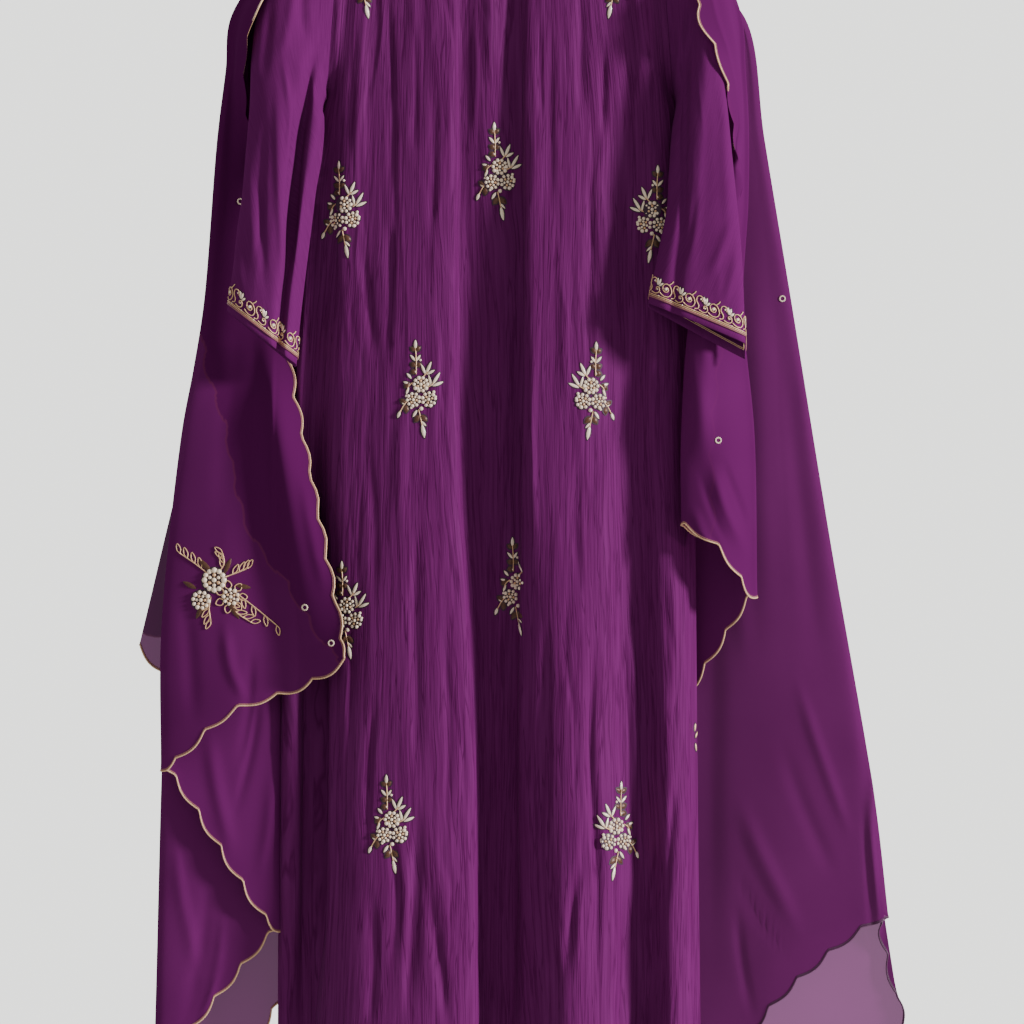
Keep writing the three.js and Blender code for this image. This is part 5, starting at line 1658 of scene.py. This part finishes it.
back_work = Work()
back_tree = tree_of(kurta["kurta_back"][0])
for x, z, mirror in BACK_BUTIS:
    buti(back_work, Patch(back_tree, x, z, BACK, mirror))
back_work.finish("kurta_back_butis", WORK_FINISHES)

dupatta_work = Work()
left_tree, right_tree = tree_of(left_front), tree_of(right_back)
right_front_tree = tree_of(right_front)
EYELETS = [(left_tree, -314, -479), (left_tree, -232, -968), (left_tree, -200, -1010),
           (right_tree, 343, -595), (right_front_tree, 260, -769)]
bouquet(dupatta_work, Patch(left_tree, -336, -940))
for tree, x, z in EYELETS:
    ring(dupatta_work, Patch(tree, x, z))
dupatta_work.finish("dupatta_work", WORK_FINISHES)

# The couched cord round the dupatta's edges, in two strands.
EDGE_RADIUS = 1.1
EDGE_PITCH = 3.2
INNER_STRAND = 1.9
INNER_SHARE = 0.7
ROLL_REACH = 16
ROLL_IN = 3
ROLL_BACK = 4
# top and bottom of the stretch where a front fall's edge rolls under
LEFT_ROLL = (-262, -430)
RIGHT_ROLL = (-346, -500)


def rolled_under(edge, beside, top, bottom):
    """An edge and the line beside it, turned in behind the cloth between two heights."""
    share = (fade(top - edge[:, 2], ROLL_REACH) * fade(edge[:, 2] - bottom, ROLL_REACH))[:, None]
    shift = share * (ROLL_IN * unit(beside - edge) + np.array([0, ROLL_BACK, 0]))
    return edge + shift, beside + shift


edges = Work()
for (first, second), outer, inner in (
        ((left_front[-1], left_front[-2]), ON_GOLD, ON_ROSE),
        (rolled_under(left_front[:, 0], left_front[:, 1], *LEFT_ROLL), ON_GOLD, ON_ROSE),
        ((left_back[-1], left_back[-2]), ON_GOLD, ON_ROSE),
        ((left_back[:, -1], left_back[:, -2]), ON_GOLD, ON_ROSE),
        ((right_front[-1], right_front[-2]), ON_GOLD, ON_ROSE),
        (rolled_under(right_front[:, 0], right_front[:, 1], *RIGHT_ROLL), ON_GOLD, ON_ROSE),
        ((right_back[-1], right_back[-2]), ON_PLUM, ON_PLUM),
        ((right_back[:, -1], right_back[:, -2]), ON_ROSE, ON_GOLD),
        ((drape[:, 0], drape[:, 1]), ON_GOLD, ON_ROSE),
        ((drape[:, -1], drape[:, -2]), ON_GOLD, ON_ROSE)):
    edges.cord(first, EDGE_RADIUS, EDGE_PITCH, outer)
    edges.cord(first + unit(second - first) * INNER_STRAND, EDGE_RADIUS * INNER_SHARE, EDGE_PITCH, inner)
edges.finish("dupatta_edge_cord", WORK_FINISHES)

cuff_work = Work()
cuff_border(cuff_work, left_cuff, 0)
cuff_border(cuff_work, right_cuff, BACK)
cuff_work.finish("cuff_borders", WORK_FINISHES)

# ---- Floor, light and camera -----------------------------------------------------------------------------

PIXEL = 1.2 * MM
FRAME_PIXELS = 1024
AXIS_X = 14.4 * MM
AXIS_Z = -854.4 * MM
CAMERA_DISTANCE = 4.6
LENS_WIDTH = 36
SUBJECT_Y = -0.02
FLOOR_Z = -1.9
FLOOR_RADIUS = 1.5
FLOOR_SIDES = 96
# The world is brighter to the camera, as the pale wall behind the suit is.
WORLD_COLOUR = (0.95, 0.955, 0.93, 1)
WORLD_LIGHT = 0.48
WORLD_SEEN = 2.1
# name, direction, energy, angle
SUNS = [("key", (-0.9, 0.37, -0.22), 4.7, 9), ("back_fill", (0.3, -0.9, -0.35), 1.3, 40)]


def add_floor():
    turns = [2 * math.pi * k / FLOOR_SIDES for k in range(FLOOR_SIDES)]
    points = [(0, 0, FLOOR_Z)]
    points += [(FLOOR_RADIUS * math.cos(turn), FLOOR_RADIUS * math.sin(turn), FLOOR_Z) for turn in turns]
    mesh = bpy.data.meshes.new("floor")
    mesh.from_pydata(points, [], [[0, k + 1, (k + 1) % FLOOR_SIDES + 1] for k in range(FLOOR_SIDES)])
    made = Finish("pale_floor", Roughness=0.7)
    grain = made.noise(made.object_coords(), (60, 60, 60), 3)
    made.fill(made.shader, {"Base Color": made.blend(grain, FLOOR_DARK, FLOOR_LIGHT)})
    mesh.materials.append(made.material)
    floor = bpy.data.objects.new("floor", mesh)
    bpy.context.collection.objects.link(floor)


def add_sun(name, towards, energy, angle):
    lamp = bpy.data.lights.new(name, "SUN")
    lamp.energy = energy
    lamp.angle = math.radians(angle)
    sun = bpy.data.objects.new(name, lamp)
    sun.rotation_euler = Vector(towards).to_track_quat("-Z", "Y").to_euler()
    bpy.context.collection.objects.link(sun)


def add_world():
    world = bpy.data.worlds.new("pale_world")
    bpy.context.scene.world = world
    world.use_nodes = True
    nodes, links = world.node_tree.nodes, world.node_tree.links
    back = nodes["Background"]
    back.inputs["Color"].default_value = WORLD_COLOUR
    path = nodes.new("ShaderNodeLightPath")
    strength = nodes.new("ShaderNodeMapRange")
    strength.inputs["To Min"].default_value = WORLD_LIGHT
    strength.inputs["To Max"].default_value = WORLD_SEEN
    links.new(path.outputs["Is Camera Ray"], strength.inputs["Value"])
    links.new(strength.outputs[0], back.inputs["Strength"])


def add_camera():
    lens = bpy.data.cameras.new("camera")
    lens.sensor_width = LENS_WIDTH
    lens.lens = LENS_WIDTH * CAMERA_DISTANCE / (FRAME_PIXELS * PIXEL)
    camera = bpy.data.objects.new("camera", lens)
    camera.location = (AXIS_X, SUBJECT_Y - CAMERA_DISTANCE, AXIS_Z)
    camera.rotation_euler = (math.radians(90), 0, 0)
    bpy.context.collection.objects.link(camera)
    bpy.context.scene.camera = camera


add_floor()
add_world()
for sun in SUNS:
    add_sun(*sun)
add_camera()
